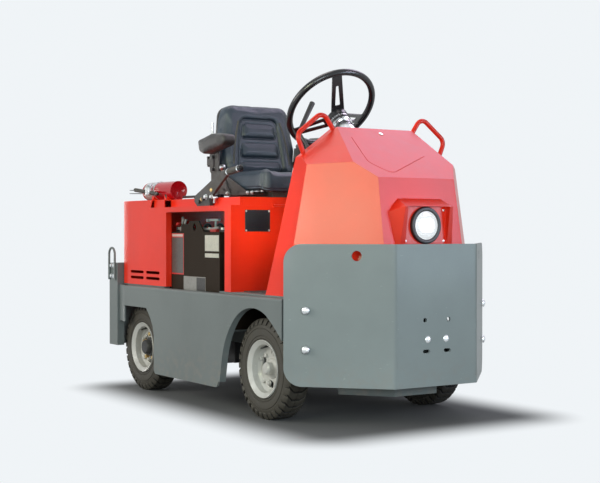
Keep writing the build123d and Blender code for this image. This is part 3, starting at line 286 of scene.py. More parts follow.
def lamp_lens(name):
    """Clear fluted lens that glows faintly: painted light standing for a bright reflector behind it."""
    smooth = 0.08
    # the lens's faint glow is painted light for the reflector's brightness
    lens = Finish(name, (0.93, 0.94, 0.95), smooth, Coat_Roughness=0.05, Emission_Strength=0.36)
    flute = lens.waves("Y", 62.0, 0.4)
    rings = lens.waves("Z", 40.0, 0.2)
    lens.set("Coat Weight", 1.0 - rings * 0.2)
    lens.set("Emission Color", lens.blend(flute * 0.4, (1.0, 1.0, 1.0), (0.72, 0.76, 0.82)))
    tone = lens.blend(flute * 0.35, (0.95, 0.955, 0.96), (0.74, 0.76, 0.79))
    return lens.dressed(tone, smooth, flute + rings * 0.6, 0.0012)


def ribbed_mat(name, colour):
    """Rubber floor mat with fine fore-and-aft ribs."""
    mat = Finish(name, colour, 0.7)
    ribs = mat.waves("Y", 38.0)
    dust = mat.ramp(mat.cloud(20.0, 6.0), 0.42, 0.75)
    tone = mat.blend(dust * (1.0 - ribs * 0.5) * 0.5, colour, (0.16, 0.15, 0.13))
    return mat.dressed(tone, 0.6 + 0.25 * dust, ribs, 0.0016)


def label_film(name, colour):
    """Blank printed film or plate: faint scuffs, a slight ripple and a satin face."""
    film = Finish(name, colour, 0.42)
    scuff = film.ramp(film.cloud(150.0, 5.0), 0.45, 0.75)
    fade = film.ramp(film.cloud(30.0, 3.0), 0.35, 0.7)
    tone = film.blend(fade * 0.35, colour, shade(colour, 1.25))
    tone = film.blend(scuff * 0.30, tone, shade(colour, 0.62))
    return film.dressed(tone, 0.34 + 0.22 * scuff, film.cloud(60.0, 3.0) + scuff * 0.3, 0.00025)


# every finish by name, filled by the first step
PAINTS = {}


# ---------------------------------------------------------------- forms

def side_axes(axis):
    """Two unit vectors square to an axis."""
    axis = axis.normalized()
    rough = UP if abs(axis.z) < 0.9 else AHEAD
    first = rough.cross(axis).normalized()
    return first, axis.cross(first).normalized()


class Form:
    """Points and faces of one piece, made into a mesh object by done()."""

    def __init__(self):
        self.points = []
        self.faces = []

    def loft(self, rings, ends=True):
        """Skin through rings of equally many points."""
        count = len(rings[0])
        start = len(self.points)
        faces = []
        for r in range(len(rings) - 1):
            for i in range(count):
                j = (i + 1) % count
                a, b = r * count, (r + 1) * count
                faces.append((a + i, a + j, b + j, b + i))
        if ends:
            faces.append(tuple(range(count))[::-1])
            last = (len(rings) - 1) * count
            faces.append(tuple(last + i for i in range(count)))
        self.points += [Vector(p) for ring in rings for p in ring]
        self.faces += [tuple(start + i for i in face) for face in faces]
        return self

    def block(self, centre, size, turn=None):
        """Box of a given size, turned by a rotation if one is given."""
        turn = turn or Matrix.Identity(3)
        half = Vector(size) / 2
        rings = []
        for z in (-1, 1):
            ring = []
            for x, y in ((-1, -1), (1, -1), (1, 1), (-1, 1)):
                ring.append(Vector(centre) + turn @ Vector((x * half.x, y * half.y, z * half.z)))
            rings.append(ring)
        return self.loft(rings)

    def lathe(self, centre, axis, profile, steps=32, ends=True):
        """Turned shape: profile pairs are distance along the axis and radius."""
        centre, axis = Vector(centre), Vector(axis).normalized()
        first, second = side_axes(axis)
        rings = []
        for along, radius in profile:
            ring = []
            for i in range(steps):
                a = tau * i / steps
                ring.append(centre + axis * along + (first * cos(a) + second * sin(a)) * radius)
            rings.append(ring)
        return self.loft(rings, ends)

    def pipe(self, path, radius, sides=12):
        """Round bar along a path of points; radius may be a list."""
        path = [Vector(p) for p in path]
        side = None
        rings = []
        for i, point in enumerate(path):
            ahead = path[min(i + 1, len(path) - 1)] - path[max(i - 1, 0)]
            ahead.normalize()
            if side is None:
                side = side_axes(ahead)[0]
            side = (side - ahead * side.dot(ahead)).normalized()
            other = ahead.cross(side)
            r = radius[i] if isinstance(radius, (list, tuple)) else radius
            rings.append([point + (side * cos(tau * k / sides) + other * sin(tau * k / sides)) * r
                          for k in range(sides)])
        return self.loft(rings)

    def done(self, name, finish, body="chassis", bevel=0.0, segments=2, smooth=35, slot=None):
        """Makes the mesh object, softens its edges and lets it ride on a body."""
        mesh = bpy.data.meshes.new(name)
        bm = bmesh.new()
        corners = [bm.verts.new(p) for p in self.points]
        for face in self.faces:
            bm.faces.new([corners[i] for i in face])
        bmesh.ops.remove_doubles(bm, verts=bm.verts[:], dist=1e-6)
        bmesh.ops.recalc_face_normals(bm, faces=bm.faces[:])
        if bevel:
            soften(bm, bevel, segments)
        bm.to_mesh(mesh)
        bm.free()
        return settle(bpy.data.objects.new(name, mesh), finish, body, smooth)


def soften(bm, width, segments=2, angle=25):
    """Rounds every edge sharper than an angle."""
    sharp = [e for e in bm.edges if len(e.link_faces) == 2 and e.calc_face_angle(0) > radians(angle)]
    if sharp:
        bmesh.ops.bevel(bm, geom=sharp, offset=width, segments=segments, profile=0.5,
                        affect="EDGES", clamp_overlap=True)


def settle(piece, finishes, body, smooth=35):
    """Links a piece, gives it one finish or several by name, and its body."""
    bpy.context.scene.collection.objects.link(piece)
    for finish in ([finishes] if isinstance(finishes, str) else finishes):
        piece.data.materials.append(PAINTS[finish])
    if smooth:
        piece.data.polygons.foreach_set("use_smooth", [True] * len(piece.data.polygons))
        piece.data.set_sharp_from_angle(angle=radians(smooth))
    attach(piece, body)
    return piece


def body_of_node(node):
    """The body that a CAD node moves with."""
    for body, members in frame["record"]["behaviour"]["bodies"].items():
        if node in members:
            return body
    raise KeyError(node)


def clean_copy(node, join_flats=True):
    """The node's skin as one welded mesh, with flat faces joined if asked."""
    bm = bmesh.new()
    bm.from_mesh(frame["nodes"][node].data)
    bmesh.ops.remove_doubles(bm, verts=bm.verts[:], dist=1e-5)
    if join_flats:
        bmesh.ops.dissolve_limit(bm, angle_limit=radians(1.0), verts=bm.verts[:], edges=bm.edges[:])
    return bm


def even_shading(piece):
    """Lets the large faces set the shading, so flat plates stay flat up to their rounded edges."""
    modifier = piece.modifiers.new("even_shading", "WEIGHTED_NORMAL")
    modifier.mode = "FACE_AREA"
    modifier.weight = 100
    modifier.keep_sharp = True


def folded_skin(node, finish, width, segments=2, smooth=35, choose=None):
    """Stands for a steel node: same faces, with its edges rounded as folded and ground steel is.

    choose gives a face's place among several finishes from the face's centre.
    """
    bm = clean_copy(node, join_flats=width > 0)
    if width:
        soften(bm, width, segments)
    if choose:
        for face in bm.faces:
            face.material_index = choose(face.calc_center_median())
    mesh = bpy.data.meshes.new(node + "_skin")
    bm.to_mesh(mesh)
    bm.free()
    piece = settle(bpy.data.objects.new(node + "_skin", mesh), finish, body_of_node(node), smooth)
    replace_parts(piece, node)
    crisp_folds(piece)
    even_shading(piece)


def crisp_folds(piece, least_breadth=0.025, least_angle=3):
    """Marks the shallow folds between broad flat faces as sharp, so that they still show as folds."""
    def broad(face):
        return face.calc_area() / max(edge.calc_length() for edge in face.edges) > least_breadth

    bm = bmesh.new()
    bm.from_mesh(piece.data)
    for edge in bm.edges:
        folded = len(edge.link_faces) == 2 and edge.calc_face_angle(0) > radians(least_angle)
        if folded and all(broad(face) for face in edge.link_faces):
            edge.smooth = False
    bm.to_mesh(piece.data)
    bm.free()


def coat_node(node, finish):
    """Gives a carried-over CAD node its finish."""
    piece = frame["nodes"][node]
    piece.data.materials.clear()
    piece.data.materials.append(PAINTS[finish])
    piece.data.polygons.foreach_set("material_index", [0] * len(piece.data.polygons))
    return piece


def apply_modifiers(piece):
    """Makes the mesh what its modifiers show, and takes them off."""
    shape = bpy.data.meshes.new_from_object(piece.evaluated_get(bpy.context.evaluated_depsgraph_get()))
    piece.modifiers.clear()
    old = piece.data
    piece.data = shape
    bpy.data.meshes.remove(old)


def foam_pad(node, name, finishes, voxel, cap, pressure, inset, round_off, relaxed, held=None):
    """Upholstered pad grown from a soft CAD solid: remeshed, drawn in, blown up as cloth and capped.

    Lengths in metres: voxel is the grid, inset how far the skin is drawn in first, round_off the
    rounding of its edges and cap the furthest that the cloth may move. relaxed counts the smoothing
    passes. held tells which points are fixed to the pan or board under the pad.
    """
    bm = clean_copy(node)
    soften(bm, round_off, 3)
    mesh = bpy.data.meshes.new(name)
    bm.to_mesh(mesh)
    bm.free()
    pad = settle(bpy.data.objects.new(name, mesh), finishes, body_of_node(node), 0)
    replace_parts(pad, node)
    remesh = pad.modifiers.new("even_grid", "REMESH")
    remesh.mode = "VOXEL"
    remesh.voxel_size = voxel * 1.0
    relax = pad.modifiers.new("relax", "SMOOTH")
    relax.factor, relax.iterations = 0.5, relaxed
    apply_modifiers(pad)
    for vertex in pad.data.vertices:
        vertex.co -= vertex.normal * inset
    start = [vertex.co.copy() for vertex in pad.data.vertices]
    fixed = pad.vertex_groups.new(name="held")
    if held:
        fixed.add([i for i, point in enumerate(start) if held(point)], 1.0, "REPLACE")
    cloth = pad.modifiers.new("cover", "CLOTH")
    rules = cloth.settings
    rules.quality = 4
    rules.mass = 0.3
    rules.tension_stiffness = rules.compression_stiffness = 12.0
    rules.shear_stiffness = 6.0
    rules.bending_stiffness = 0.6
    rules.use_pressure = True
    rules.uniform_pressure_force = pressure
    rules.effector_weights.gravity = 0.0
    rules.vertex_group_mass = "held"
    cloth.point_cache.frame_start, cloth.point_cache.frame_end = 1, 20
    for step in range(1, 21):
        bpy.context.scene.frame_set(step)
    apply_modifiers(pad)
    bpy.context.scene.frame_set(1)
    pad.vertex_groups.clear()
    for vertex, place in zip(pad.data.vertices, start):
        move = vertex.co - place
        if move.length > cap:
            vertex.co = place + move * (cap / move.length)
    pad.data.update()
    ease_out = pad.modifiers.new("ease_out", "SMOOTH")
    ease_out.factor, ease_out.iterations = 0.5, relaxed
    pad.modifiers.new("fair", "SUBSURF").levels = 1
    apply_modifiers(pad)
    pad.data.polygons.foreach_set("use_smooth", [True] * len(pad.data.polygons))
    return pad


def press(pad, sculpt):
    """Moves each point of a pad by what sculpt returns for its place and normal."""
    moves = [sculpt(vertex.co, vertex.normal) for vertex in pad.data.vertices]
    for vertex, move in zip(pad.data.vertices, moves):
        if move:
            vertex.co += move
    pad.data.update()


def ease(value, low, high):
    """0 at low, 1 at high, smooth between."""
    t = min(1.0, max(0.0, (value - low) / (high - low)))
    return t * t * (3 - 2 * t)


def rounded_box(x, y, half_x, half_y, radius):
    """Distance to a rounded rectangle's edge, below zero inside."""
    dx, dy = abs(x) - half_x + radius, abs(y) - half_y + radius
    return sqrt(max(dx, 0.0) ** 2 + max(dy, 0.0) ** 2) + min(max(dx, dy), 0.0) - radius


def draped(piece, points, towards, lift):
    """Points dropped on to a piece's skin along a direction, then lifted off it."""
    mesh = piece.data
    tree = BVHTree.FromPolygons([v.co for v in mesh.vertices], [tuple(p.vertices) for p in mesh.polygons])
    path = []
    for point in points:
        hit = tree.ray_cast(point - towards * 0.2, towards)[0]
        if hit is not None:
            path.append(hit - towards * lift)
    return path


def dome_bolt(form, where, axis, radius, height, washer=0.0):
    """Round-headed bolt on a face, with a washer under it if one is asked for."""
    where, axis = Vector(where), Vector(axis).normalized()
    if washer:
        form.lathe(where, axis, ((-0.0005, washer), (0.0016, washer), (0.0020, washer * 0.96)), 24)
    form.lathe(where + axis * (0.002 if washer else 0.0), axis, (
        (-0.0005, radius), (height * 0.25, radius * 0.985), (height * 0.6, radius * 0.82),
        (height * 0.88, radius * 0.5), (height, radius * 0.14)), 24)


def hex_bolt(form, where, axis, across, height):
    """Hexagon head with a chamfered crown and a washer."""
    where, axis = Vector(where), Vector(axis).normalized()
    radius = across / sqrt(3)
    form.lathe(where, axis, ((-0.0005, radius * 1.25), (0.0015, radius * 1.25)), 20)
    form.lathe(where, axis, ((0.0015, radius), (height * 0.85, radius), (height, radius * 0.86)), 6)


# ---------------------------------------------------------------- settings

class TugPaintSettings(bpy.types.PropertyGroup):
    """Colours of the tug's finishes."""
    body: FloatVectorProperty(name="Body", description="Red-orange body enamel", subtype="COLOR",
                              default=(0.86, 0.032, 0.010))
    chassis: FloatVectorProperty(name="Chassis", description="Grey chassis enamel", subtype="COLOR",
                                 default=(0.168, 0.193, 0.190))
    battery: FloatVectorProperty(name="Battery case", description="Coated battery case", subtype="COLOR",
                                 default=(0.026, 0.018, 0.012))
    rim: FloatVectorProperty(name="Rims", description="Light grey wheel enamel", subtype="COLOR",
                             default=(0.57, 0.57, 0.53))
    edge_radius: FloatProperty(name="Edge radius", description="Rounding of folded steel edges",
                               default=0.0015, min=0.0, max=0.004, unit="LENGTH")


class TugTyreSettings(bpy.types.PropertyGroup):
    """Tread of the industrial tyres."""
    lugs: IntProperty(name="Lugs", description="Lugs round each shoulder", default=34, min=12, max=60)
    depth: FloatProperty(name="Tread depth", description="Depth of the grooves between lugs",
                         default=0.009, min=0.002, max=0.014, unit="LENGTH")


class TugStageSettings(bpy.types.PropertyGroup):
    """Light and floor round the tug."""
    key_watts: FloatProperty(name="Main softbox", description="Power of the softbox beside the tug",
                             default=80.0, unit="POWER")
    fill_watts: FloatProperty(name="Fill softbox", description="Power of the softbox ahead of the tug",
                              default=40.0, unit="POWER")
    backdrop: FloatVectorProperty(name="Backdrop", description="Plain pale backdrop", subtype="COLOR",
                                  default=(0.87, 0.905, 0.93))


# ---------------------------------------------------------------- pieces

class TUG_OT_paints(bpy.types.Operator):
    """Mix every finish that the pieces use"""
    bl_idname = "tug.paints"
    bl_label = "Mix Finishes"

    def execute(self, context):
        settings = context.scene.tug_paint
        body, chassis = tuple(settings.body), tuple(settings.chassis)
        battery, rim = tuple(settings.battery), tuple(settings.rim)
        even, drawn = (1.0, 1.0, 1.0), (1.0, 1.0, 0.1)
        rows = (
            # name, colour, roughness, coat, orange peel, dust, specular level
            (sheet_paint, "body", "body_enamel", body, 0.25, 0.05, 1.0, 0.12, 0.19),
            (sheet_paint, "chassis", "chassis_enamel", chassis, 0.36, 0.05, 1.3, 0.2, 0.2),
            # the bumper's enamel is the chassis enamel lightened 1.62 times: painted light, the same paint in
            # truth
            (sheet_paint, "bumper", "bumper_enamel", shade(chassis, 1.62), 0.36, 0.05, 1.3, 0.2, 0.16),
            (sheet_paint, "battery", "battery_coat", battery, 0.55, 0.0, 2.0, 0.0, 0.08),
            (sheet_paint, "rim", "rim_enamel", rim, 0.38, 0.2, 1.2, 0.2, 0.5),
            (sheet_paint, "bottle", "bottle_enamel", (0.47, 0.005, 0.012), 0.14, 0.15, 0.4, 0.02, 0.25),
            # name, colour and, for castings, roughness
            (casting, "casting", "axle_casting", (0.022, 0.022, 0.023), 0.55),
            (casting, "frame", "seat_frame_enamel", (0.028, 0.024, 0.020), 0.42),
            (tyre_rubber, "rubber", "tyre_rubber", (0.040, 0.035, 0.026)),
            # near-black rubber for the tread floor and lug flanks: painted shade in the grooves
            (tyre_rubber, "groove_rubber", "groove_rubber", (0.007, 0.006, 0.005)),
            (ribbed_mat, "mat", "floor_mat", (0.026, 0.026, 0.027)),
            # dark vinyl whose blue tint is a painted reflection of a bluish sky
            (vinyl, "vinyl", "seat_vinyl", (0.014, 0.031, 0.050)),
            (vinyl, "arm_vinyl", "armrest_vinyl", (0.015, 0.013, 0.011)),
            # name, colour, roughness, fineness of the grain, its depth
            (moulded, "piping", "seat_piping", (0.145, 0.130, 0.075), 0.5, 900.0, 0.0001),
            (moulded, "beige", "beige_stem", (0.50, 0.36, 0.30), 0.4, 900.0, 0.0001),
            (moulded, "brown_grip", "brown_grip", (0.036, 0.030, 0.022), 0.45, 500.0, 0.0004),
            (moulded, "gloss_black", "gloss_black", (0.012, 0.012, 0.014), 0.24, 300.0, 0.00001),
            (moulded, "plastic", "black_moulding", (0.016, 0.016, 0.017), 0.38, 900.0, 0.00022),
            (moulded, "grip", "rubber_grip", (0.014, 0.014, 0.014), 0.6, 420.0, 0.0006),
            (moulded, "cable", "cable_jacket", (0.30, 0.29, 0.27), 0.5, 600.0, 0.0002),
            (moulded, "red_cable", "red_cable_jacket", (0.45, 0.02, 0.015), 0.45, 600.0, 0.0002),
            # name, colour
            (label_film, "plate_black", "data_plate", (0.012, 0.012, 0.014)),
            (label_film, "silver_label", "silver_label", (0.42, 0.43, 0.41)),
            (label_film, "label_red", "label_red", (0.55, 0.035, 0.03)),
            (label_film, "label_grey", "label_grey", (0.085, 0.080, 0.072)),
            (label_film, "label_grey_light", "label_grey_light", (0.26, 0.255, 0.235)),
            (label_film, "label_pale", "label_pale", (0.62, 0.50, 0.45)),
            (label_film, "label_cream", "label_cream", (0.56, 0.55, 0.46)),
            (label_film, "label_frame", "label_frame", (0.24, 0.225, 0.20)),
            (label_film, "label_black", "label_black", (0.030, 0.027, 0.024)),
            # name, colour, roughness, stretch of the drawing marks, stain, their depth
            (bright_metal, "column", "column_plate", (0.93, 0.94, 0.96), 0.05, even, 0.1, 0.000004),
            (bright_metal, "zinc", "zinc_bolts", (0.60, 0.62, 0.63), 0.24, even, 0.35, 0.00006),
            (bright_metal, "brass", "brass_nuts", (0.62, 0.44, 0.20), 0.32, even, 0.4, 0.00006),
            (bright_metal, "steel", "pin_steel", (0.56, 0.56, 0.57), 0.25, drawn, 0.25, 0.00006),
            (lamp_lens, "lens", "lamp_lens"),
        )
        PAINTS.clear()
        for mix, key, *values in rows:
            PAINTS[key] = mix(*values)
        return {"FINISHED"}


class TUG_OT_body(bpy.types.Operator):
    """Round and paint the red sheet-steel body, its hood lock and its data plate"""
    bl_idname = "tug.body"
    bl_label = "Body Panels"

    def execute(self, context):
        edge = context.scene.tug_paint.edge_radius
        for node in ("body_sides", "body_rear", "pedestal", "seat_deck", "lamp_box"):
            folded_skin(node, "body", edge)
        folded_skin("cowl", "body", 0.004, 3)
        coat_node("grab_handles", "body")
        # blank data plate with a rivet at each corner
        thick = 0.0016
        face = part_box("pedestal")[0].x + 0.004
        plate = Form().block((face + thick / 2, -0.3545, 0.8165), (thick, 0.124, 0.093))
        plate.done("data_plate", "plate_black", bevel=0.0004)
        rivets = Form()
        for y in (-0.411, -0.298):
            for z in (0.7755, 0.8575):
                dome_bolt(rivets, (face + thick, y, z), AHEAD, 0.0042, 0.0024)
        rivets.done("data_plate_rivets", "zinc")
        # the lock sits in the sloping hood, with a sunken keyway
        place, out = Vector((0.6447, 0.007, 1.1761)), Vector((0.608, 0, 0.794)).normalized()
        lock = Form().lathe(place - out * 0.0012, out, (
            (0, 0.0105), (0.0022, 0.0105), (0.003, 0.0096), (0.0034, 0.007), (0.0026, 0.0066),
            (0.0026, 0.001)), 24)
        lock.done("hood_lock", "zinc")
        return {"FINISHED"}


class TUG_OT_chassis(bpy.types.Operator):
    """Round and paint the grey chassis plates and bolt the bumpers on"""
    bl_idname = "tug.chassis"
    bl_label = "Chassis And Bumpers"

    def execute(self, context):
        edge = context.scene.tug_paint.edge_radius
        # the front bumper takes the lightened chassis enamel, which is painted light
        folded_skin("front_bumper", "bumper", edge)
        for node in ("side_skirts", "rear_bumper", "valance", "bumper_brackets", "battery_tray",
                     "frame_rails", "deck_plates"):
            folded_skin(node, "chassis", edge)
        coat_node("tow_loops", "chassis")
        coat_node("rear_hitch", "casting")
        coat_node("hitch_pin", "steel")
        bolts = Form()
        # front bumper: two domes in each swept-back facet and two in the middle
        facet = radians(46)
        for side in (-1, 1):
            for z in (0.465, 0.312):
                dome_bolt(bolts, (0.775, side * 0.4512, z), (cos(facet), side * sin(facet), 0), 0.0165, 0.010)
        for y in (-0.045, 0.045):
            dome_bolt(bolts, (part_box("front_bumper")[1].x, y, 0.352), AHEAD, 0.0140, 0.006)
        # tow loops: two pairs of hexagon heads at each foot
        loop_low, loop_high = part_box("tow_loops")
        rear_low, rear_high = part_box("rear_bumper")
        for side in (-1, 1):
            for x in (loop_low.x + 0.024, loop_high.x - 0.024):
                for z in (0.600, 0.548):
                    hex_bolt(bolts, (x, side * rear_high.y, z), (0, side, 0), 0.017, 0.008)
        # rear hitch: four hexagon heads in its flange
        for y in (-0.062, 0.062):
            for z in (0.245, 0.415):
                hex_bolt(bolts, (rear_low.x - 0.014, y, z), (-1, 0, 0), 0.019, 0.011)
        bolts.done("bumper_bolts", "zinc")
        return {"FINISHED"}


class TUG_OT_tyres(bpy.types.Operator):
    """Mould the lugged tyres and dress the wheels"""
    bl_idname = "tug.tyres"
    bl_label = "Tyres And Wheels"

    def execute(self, context):
        for place in WHEELS:
            low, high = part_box("tyre_" + place)
            centre = (low + high) / 2
            outer = (high.z - low.z) / 2
            half = (high.y - low.y) / 2
            centre.z = outer
            tyre_cover(place, centre, outer, half, context.scene.tug_tyre)
            folded_skin("rim_" + place, "rim", 0.0012, 2, 30)
            wheel_fittings(place, centre, half)
        return {"FINISHED"}


def tyre_cover(place, centre, outer, half, tread):
    """Tyre in place of its CAD ring: bead, banded sidewall and tread floor, then lugs on both sides."""
    floor = outer - tread.depth
    # sidewall from bead to tread floor: distance in from the sidewall's face, radius
    wall = (
        (0.019, 0.1036), (0.010, 0.1215), (0.0045, 0.1235), (0.0022, 0.1265), (0.0026, 0.1330),
        (0.0042, 0.1345), (0.0042, 0.1360), (0.0016, 0.1375), (0.0006, 0.1460), (0.0003, 0.1560),
        (0.0008, 0.1640), (0.0034, 0.1655), (0.0036, 0.1680), (0.0012, 0.1695), (0.0022, 0.1760),
        (0.0060, 0.1840), (0.0125, floor - 0.0040), (0.0200, floor), (half - 0.0012, floor + 0.0004),
    )
    profile = [(-half + depth, radius) for depth, radius in wall]
    profile += [(half - depth, radius) for depth, radius in reversed(wall)]
    form = Form().lathe(centre, (0, 1, 0), profile, 136, ends=False)
    pitch = tau / tread.lugs
    for side in (-1, 1):
        for i in range(tread.lugs):
            tyre_lug(form, centre, side, tau * i / tread.lugs, pitch, outer, half, tread.depth)
    piece = form.done("tyre_" + place + "_tread", ("rubber", "groove_rubber"), "wheel_" + place,
                      smooth=28, slot="tyre_rubber")
    # the tread floor and the flanks of the lugs get the near-black rubber: painted shade in the grooves
    for face in piece.data.polygons:
        arm = face.center - centre
        away = sqrt(arm.x ** 2 + arm.z ** 2)
        along = abs(face.normal.x * arm.z - face.normal.z * arm.x) / away
        on_floor = abs(arm.y) < half - 0.015 and away < floor + 0.0012
        on_flank = abs(arm.y) < half - 0.005 and along > 0.6
        if on_floor or on_flank:
            face.material_index = 1
    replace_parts(piece, "tyre_" + place)


def tyre_lug(form, centre, side, turn, pitch, outer, half, depth):
    """One lug: straight over the middle of the tread, swept to the shoulder, then down the sidewall."""
    # distance from mid-plane, crest radius, foot radius, sweep and width as shares of the pitch
    sections = (
        (0.0012, outer, outer - depth, -0.62, 0.81),
        (0.0180, outer, outer - depth, -0.62, 0.81),
        (0.0200, outer, outer - depth, -0.60, 0.81),
        (half - 0.0130, outer - 0.0004, outer - depth - 0.001, -0.06, 0.76),
        (half - 0.0115, outer - 0.0014, outer - depth - 0.001, 0.0, 0.77),
        (half - 0.0060, outer - 0.0088, outer - depth - 0.007, 0.0, 0.72),
        (half - 0.0024, outer - 0.0175, outer - depth - 0.014, 0.0, 0.66),
        (half - 0.0006, outer - 0.0245, outer - depth - 0.022, 0.0, 0.58),
    )
    straight = 3    # sections before the sweep, whose feet stand right under their crests
    rings = []
    for k, (off, top, root, sweep, width) in enumerate(sections):
        ring = []
        middle = turn + sweep * pitch
        for u in (-0.5, -0.42, 0.0, 0.42, 0.5):
            a = middle + u * width * pitch
            reach = top - (0.0012 if abs(u) == 0.5 else 0.0)
            ring.append(centre + Vector((cos(a) * reach, side * off, sin(a) * reach)))
        inner = off if k < straight else off - 0.006
        for u in (0.5, -0.5):
            a = middle + u * (width + 0.03) * pitch
            ring.append(centre + Vector((cos(a) * root, side * inner, sin(a) * root)))
        rings.append(ring)
    form.loft(rings)


def wheel_fittings(place, centre, half):
    """Valve stem, wheel nuts and, behind, the dark drive hub with its brass nuts."""
    side = -1 if "right" in place else 1
    body = "wheel_" + place
    out = Vector((0, side, 0))
    # how far in from the tyre's outer face the stem's root, the cap, the drive hub and the disc lie
    root, cap_face, hub_face, disc = 0.030, 0.0162, 0.047, 0.051

    def inboard(distance):
        """Point on the wheel's axis, a distance in from the tyre's outer face."""
        return centre + out * (half - distance)

    stem = Form().lathe(inboard(root) + UP * 0.094, (0.0, side * 0.9, -0.25), (
        (0, 0.006), (0.006, 0.0052), (0.022, 0.0036), (0.034, 0.0036), (0.036, 0.003)), 12)
    stem.done("valve_" + place, "grip", body)
    # nuts on the wheel disc: pitch radius, angle off the line of holes, width over flats
    nuts = Form()
    for radius, angle, across in (
            (0.066, 60, 0.016), (0.066, 120, 0.016), (0.086, 33, 0.012), (0.086, 147, 0.012)):
        for flip in (1, -1):
            a = radians(11 + angle * flip)
            place_on_disc = Vector((-side * cos(a) * radius, 0, sin(a) * radius))
            hex_bolt(nuts, inboard(disc) + place_on_disc, out, across, 0.011)
    nuts.done("disc_nuts_" + place, "rim", body, 0.0006, 1)
    cap = Form().lathe(inboard(cap_face), out, (
        (-0.006, 0.0215), (0.0005, 0.0215), (0.0022, 0.0200), (0.0032, 0.0150), (0.0036, 0.004)), 36)
    cap.done("hub_cap_" + place, "rim", body)
    if "rear" not in place:
        return
    hub = Form().lathe(inboard(hub_face), out, (
        (0, 0.046), (0.006, 0.046), (0.010, 0.043), (0.012, 0.036), (0.0308, 0.034), (0.0355, 0.030),
        (0.0365, 0.012)), 40)
    hub.done("drive_hub_" + place, "casting", body)
    studs = Form()
    for k in range(5):
        a = tau * k / 5 + 0.3
        place_on_hub = Vector((cos(a) * 0.062, 0, sin(a) * 0.062))
        hex_bolt(studs, inboard(hub_face + 0.003) + place_on_hub, out, 0.019, 0.015)
    studs.done("wheel_nuts_" + place, "brass", body)


class TUG_OT_battery(bpy.types.Operator):
    """Dress the battery: case, blank labels, cells, links and terminals"""
    bl_idname = "tug.battery"
    bl_label = "Battery"

    def execute(self, context):
        folded_skin("battery", "battery", 0.002)
        low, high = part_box("battery")
        for side in (-1, 1):
            battery_labels(side, high.y)
        battery_cells(low.x + 0.06)
        battery_terminals()
        return {"FINISHED"}


def battery_labels(side, reach):
    """Blank labels on one side of the case; a second layer lies on top of a first."""
    hand = "left" if side > 0 else "right"
    film = 0.0006
    # name, finish, rear and front edge, lower and upper edge, layer
    labels = (
        ("caution_border", "label_red", -0.358, -0.2365, 0.5735, 0.7615, 1),
        ("caution_field", "label_grey", -0.353, -0.2410, 0.5800, 0.7430, 2),
        ("caution_band", "label_pale", -0.352, -0.2460, 0.7470, 0.7580, 2),
        ("rating_field", "label_cream", -0.034, 0.092, 0.6840, 0.7540, 1),
        ("rating_strip", "label_cream", -0.034, 0.092, 0.6560, 0.6740, 1),
        ("handling_border", "label_frame", -0.2375, -0.0285, 0.4850, 0.5680, 1),
        ("handling_field", "label_grey_light", -0.2340, -0.1120, 0.4880, 0.5640, 2),
        ("handling_dark", "label_black", -0.1120, -0.0320, 0.4880, 0.5640, 2),
    )
    for name, finish, x0, x1, z0, z1, layer in labels:
        thick = film * layer
        middle = ((x0 + x1) / 2, side * (reach + thick / 2), (z0 + z1) / 2)
        label = Form().block(middle, (x1 - x0, thick, z1 - z0))
        label.done("battery_%s_%s" % (name, hand), finish, bevel=0.00015, segments=1)


def battery_cells(first_x, first_y=-0.36, along=0.119, across=0.144):
    """Four by six cells with vent caps and posts, linked fore and aft by low insulated arches."""
    cells, caps, links, posts = Form(), Form(), Form(), Form()
    lid = BATTERY_TOP + 0.010
    reach = 0.034       # from a cell's middle to each of its posts
    for row in range(6):
        for column in range(4):
            x, y = first_x + column * along, first_y + row * across
            cells.block((x, y, BATTERY_TOP + 0.005), (0.106, 0.132, 0.010))
            caps.lathe((x, y - 0.012, lid), UP, (
                (0, 0.017), (0.006, 0.017), (0.009, 0.0145), (0.0095, 0.006), (0.013, 0.006),
                (0.0135, 0.002)), 20)
            for side in (-1, 1):
                posts.lathe((x + side * reach, y + 0.040, lid), UP,
                            ((0, 0.010), (0.010, 0.0095), (0.011, 0.006)), 16)
            if column < 3:
                gap = along - 2 * reach
                arch = [(x + reach + gap * t, y + 0.040, BATTERY_TOP + 0.022 + 0.012 * sin(pi * t))
                        for t in (0.0, 0.15, 0.35, 0.5, 0.65, 0.85, 1.0)]
                links.pipe(arch, (0.0075, 0.0085, 0.0065, 0.0065, 0.0065, 0.0085, 0.0075), 12)
    cells.done("battery_cells", "plastic", bevel=0.003)
    caps.done("battery_vent_caps", "plastic")
    posts.done("battery_posts", "zinc")
    links.done("battery_links", "plastic")


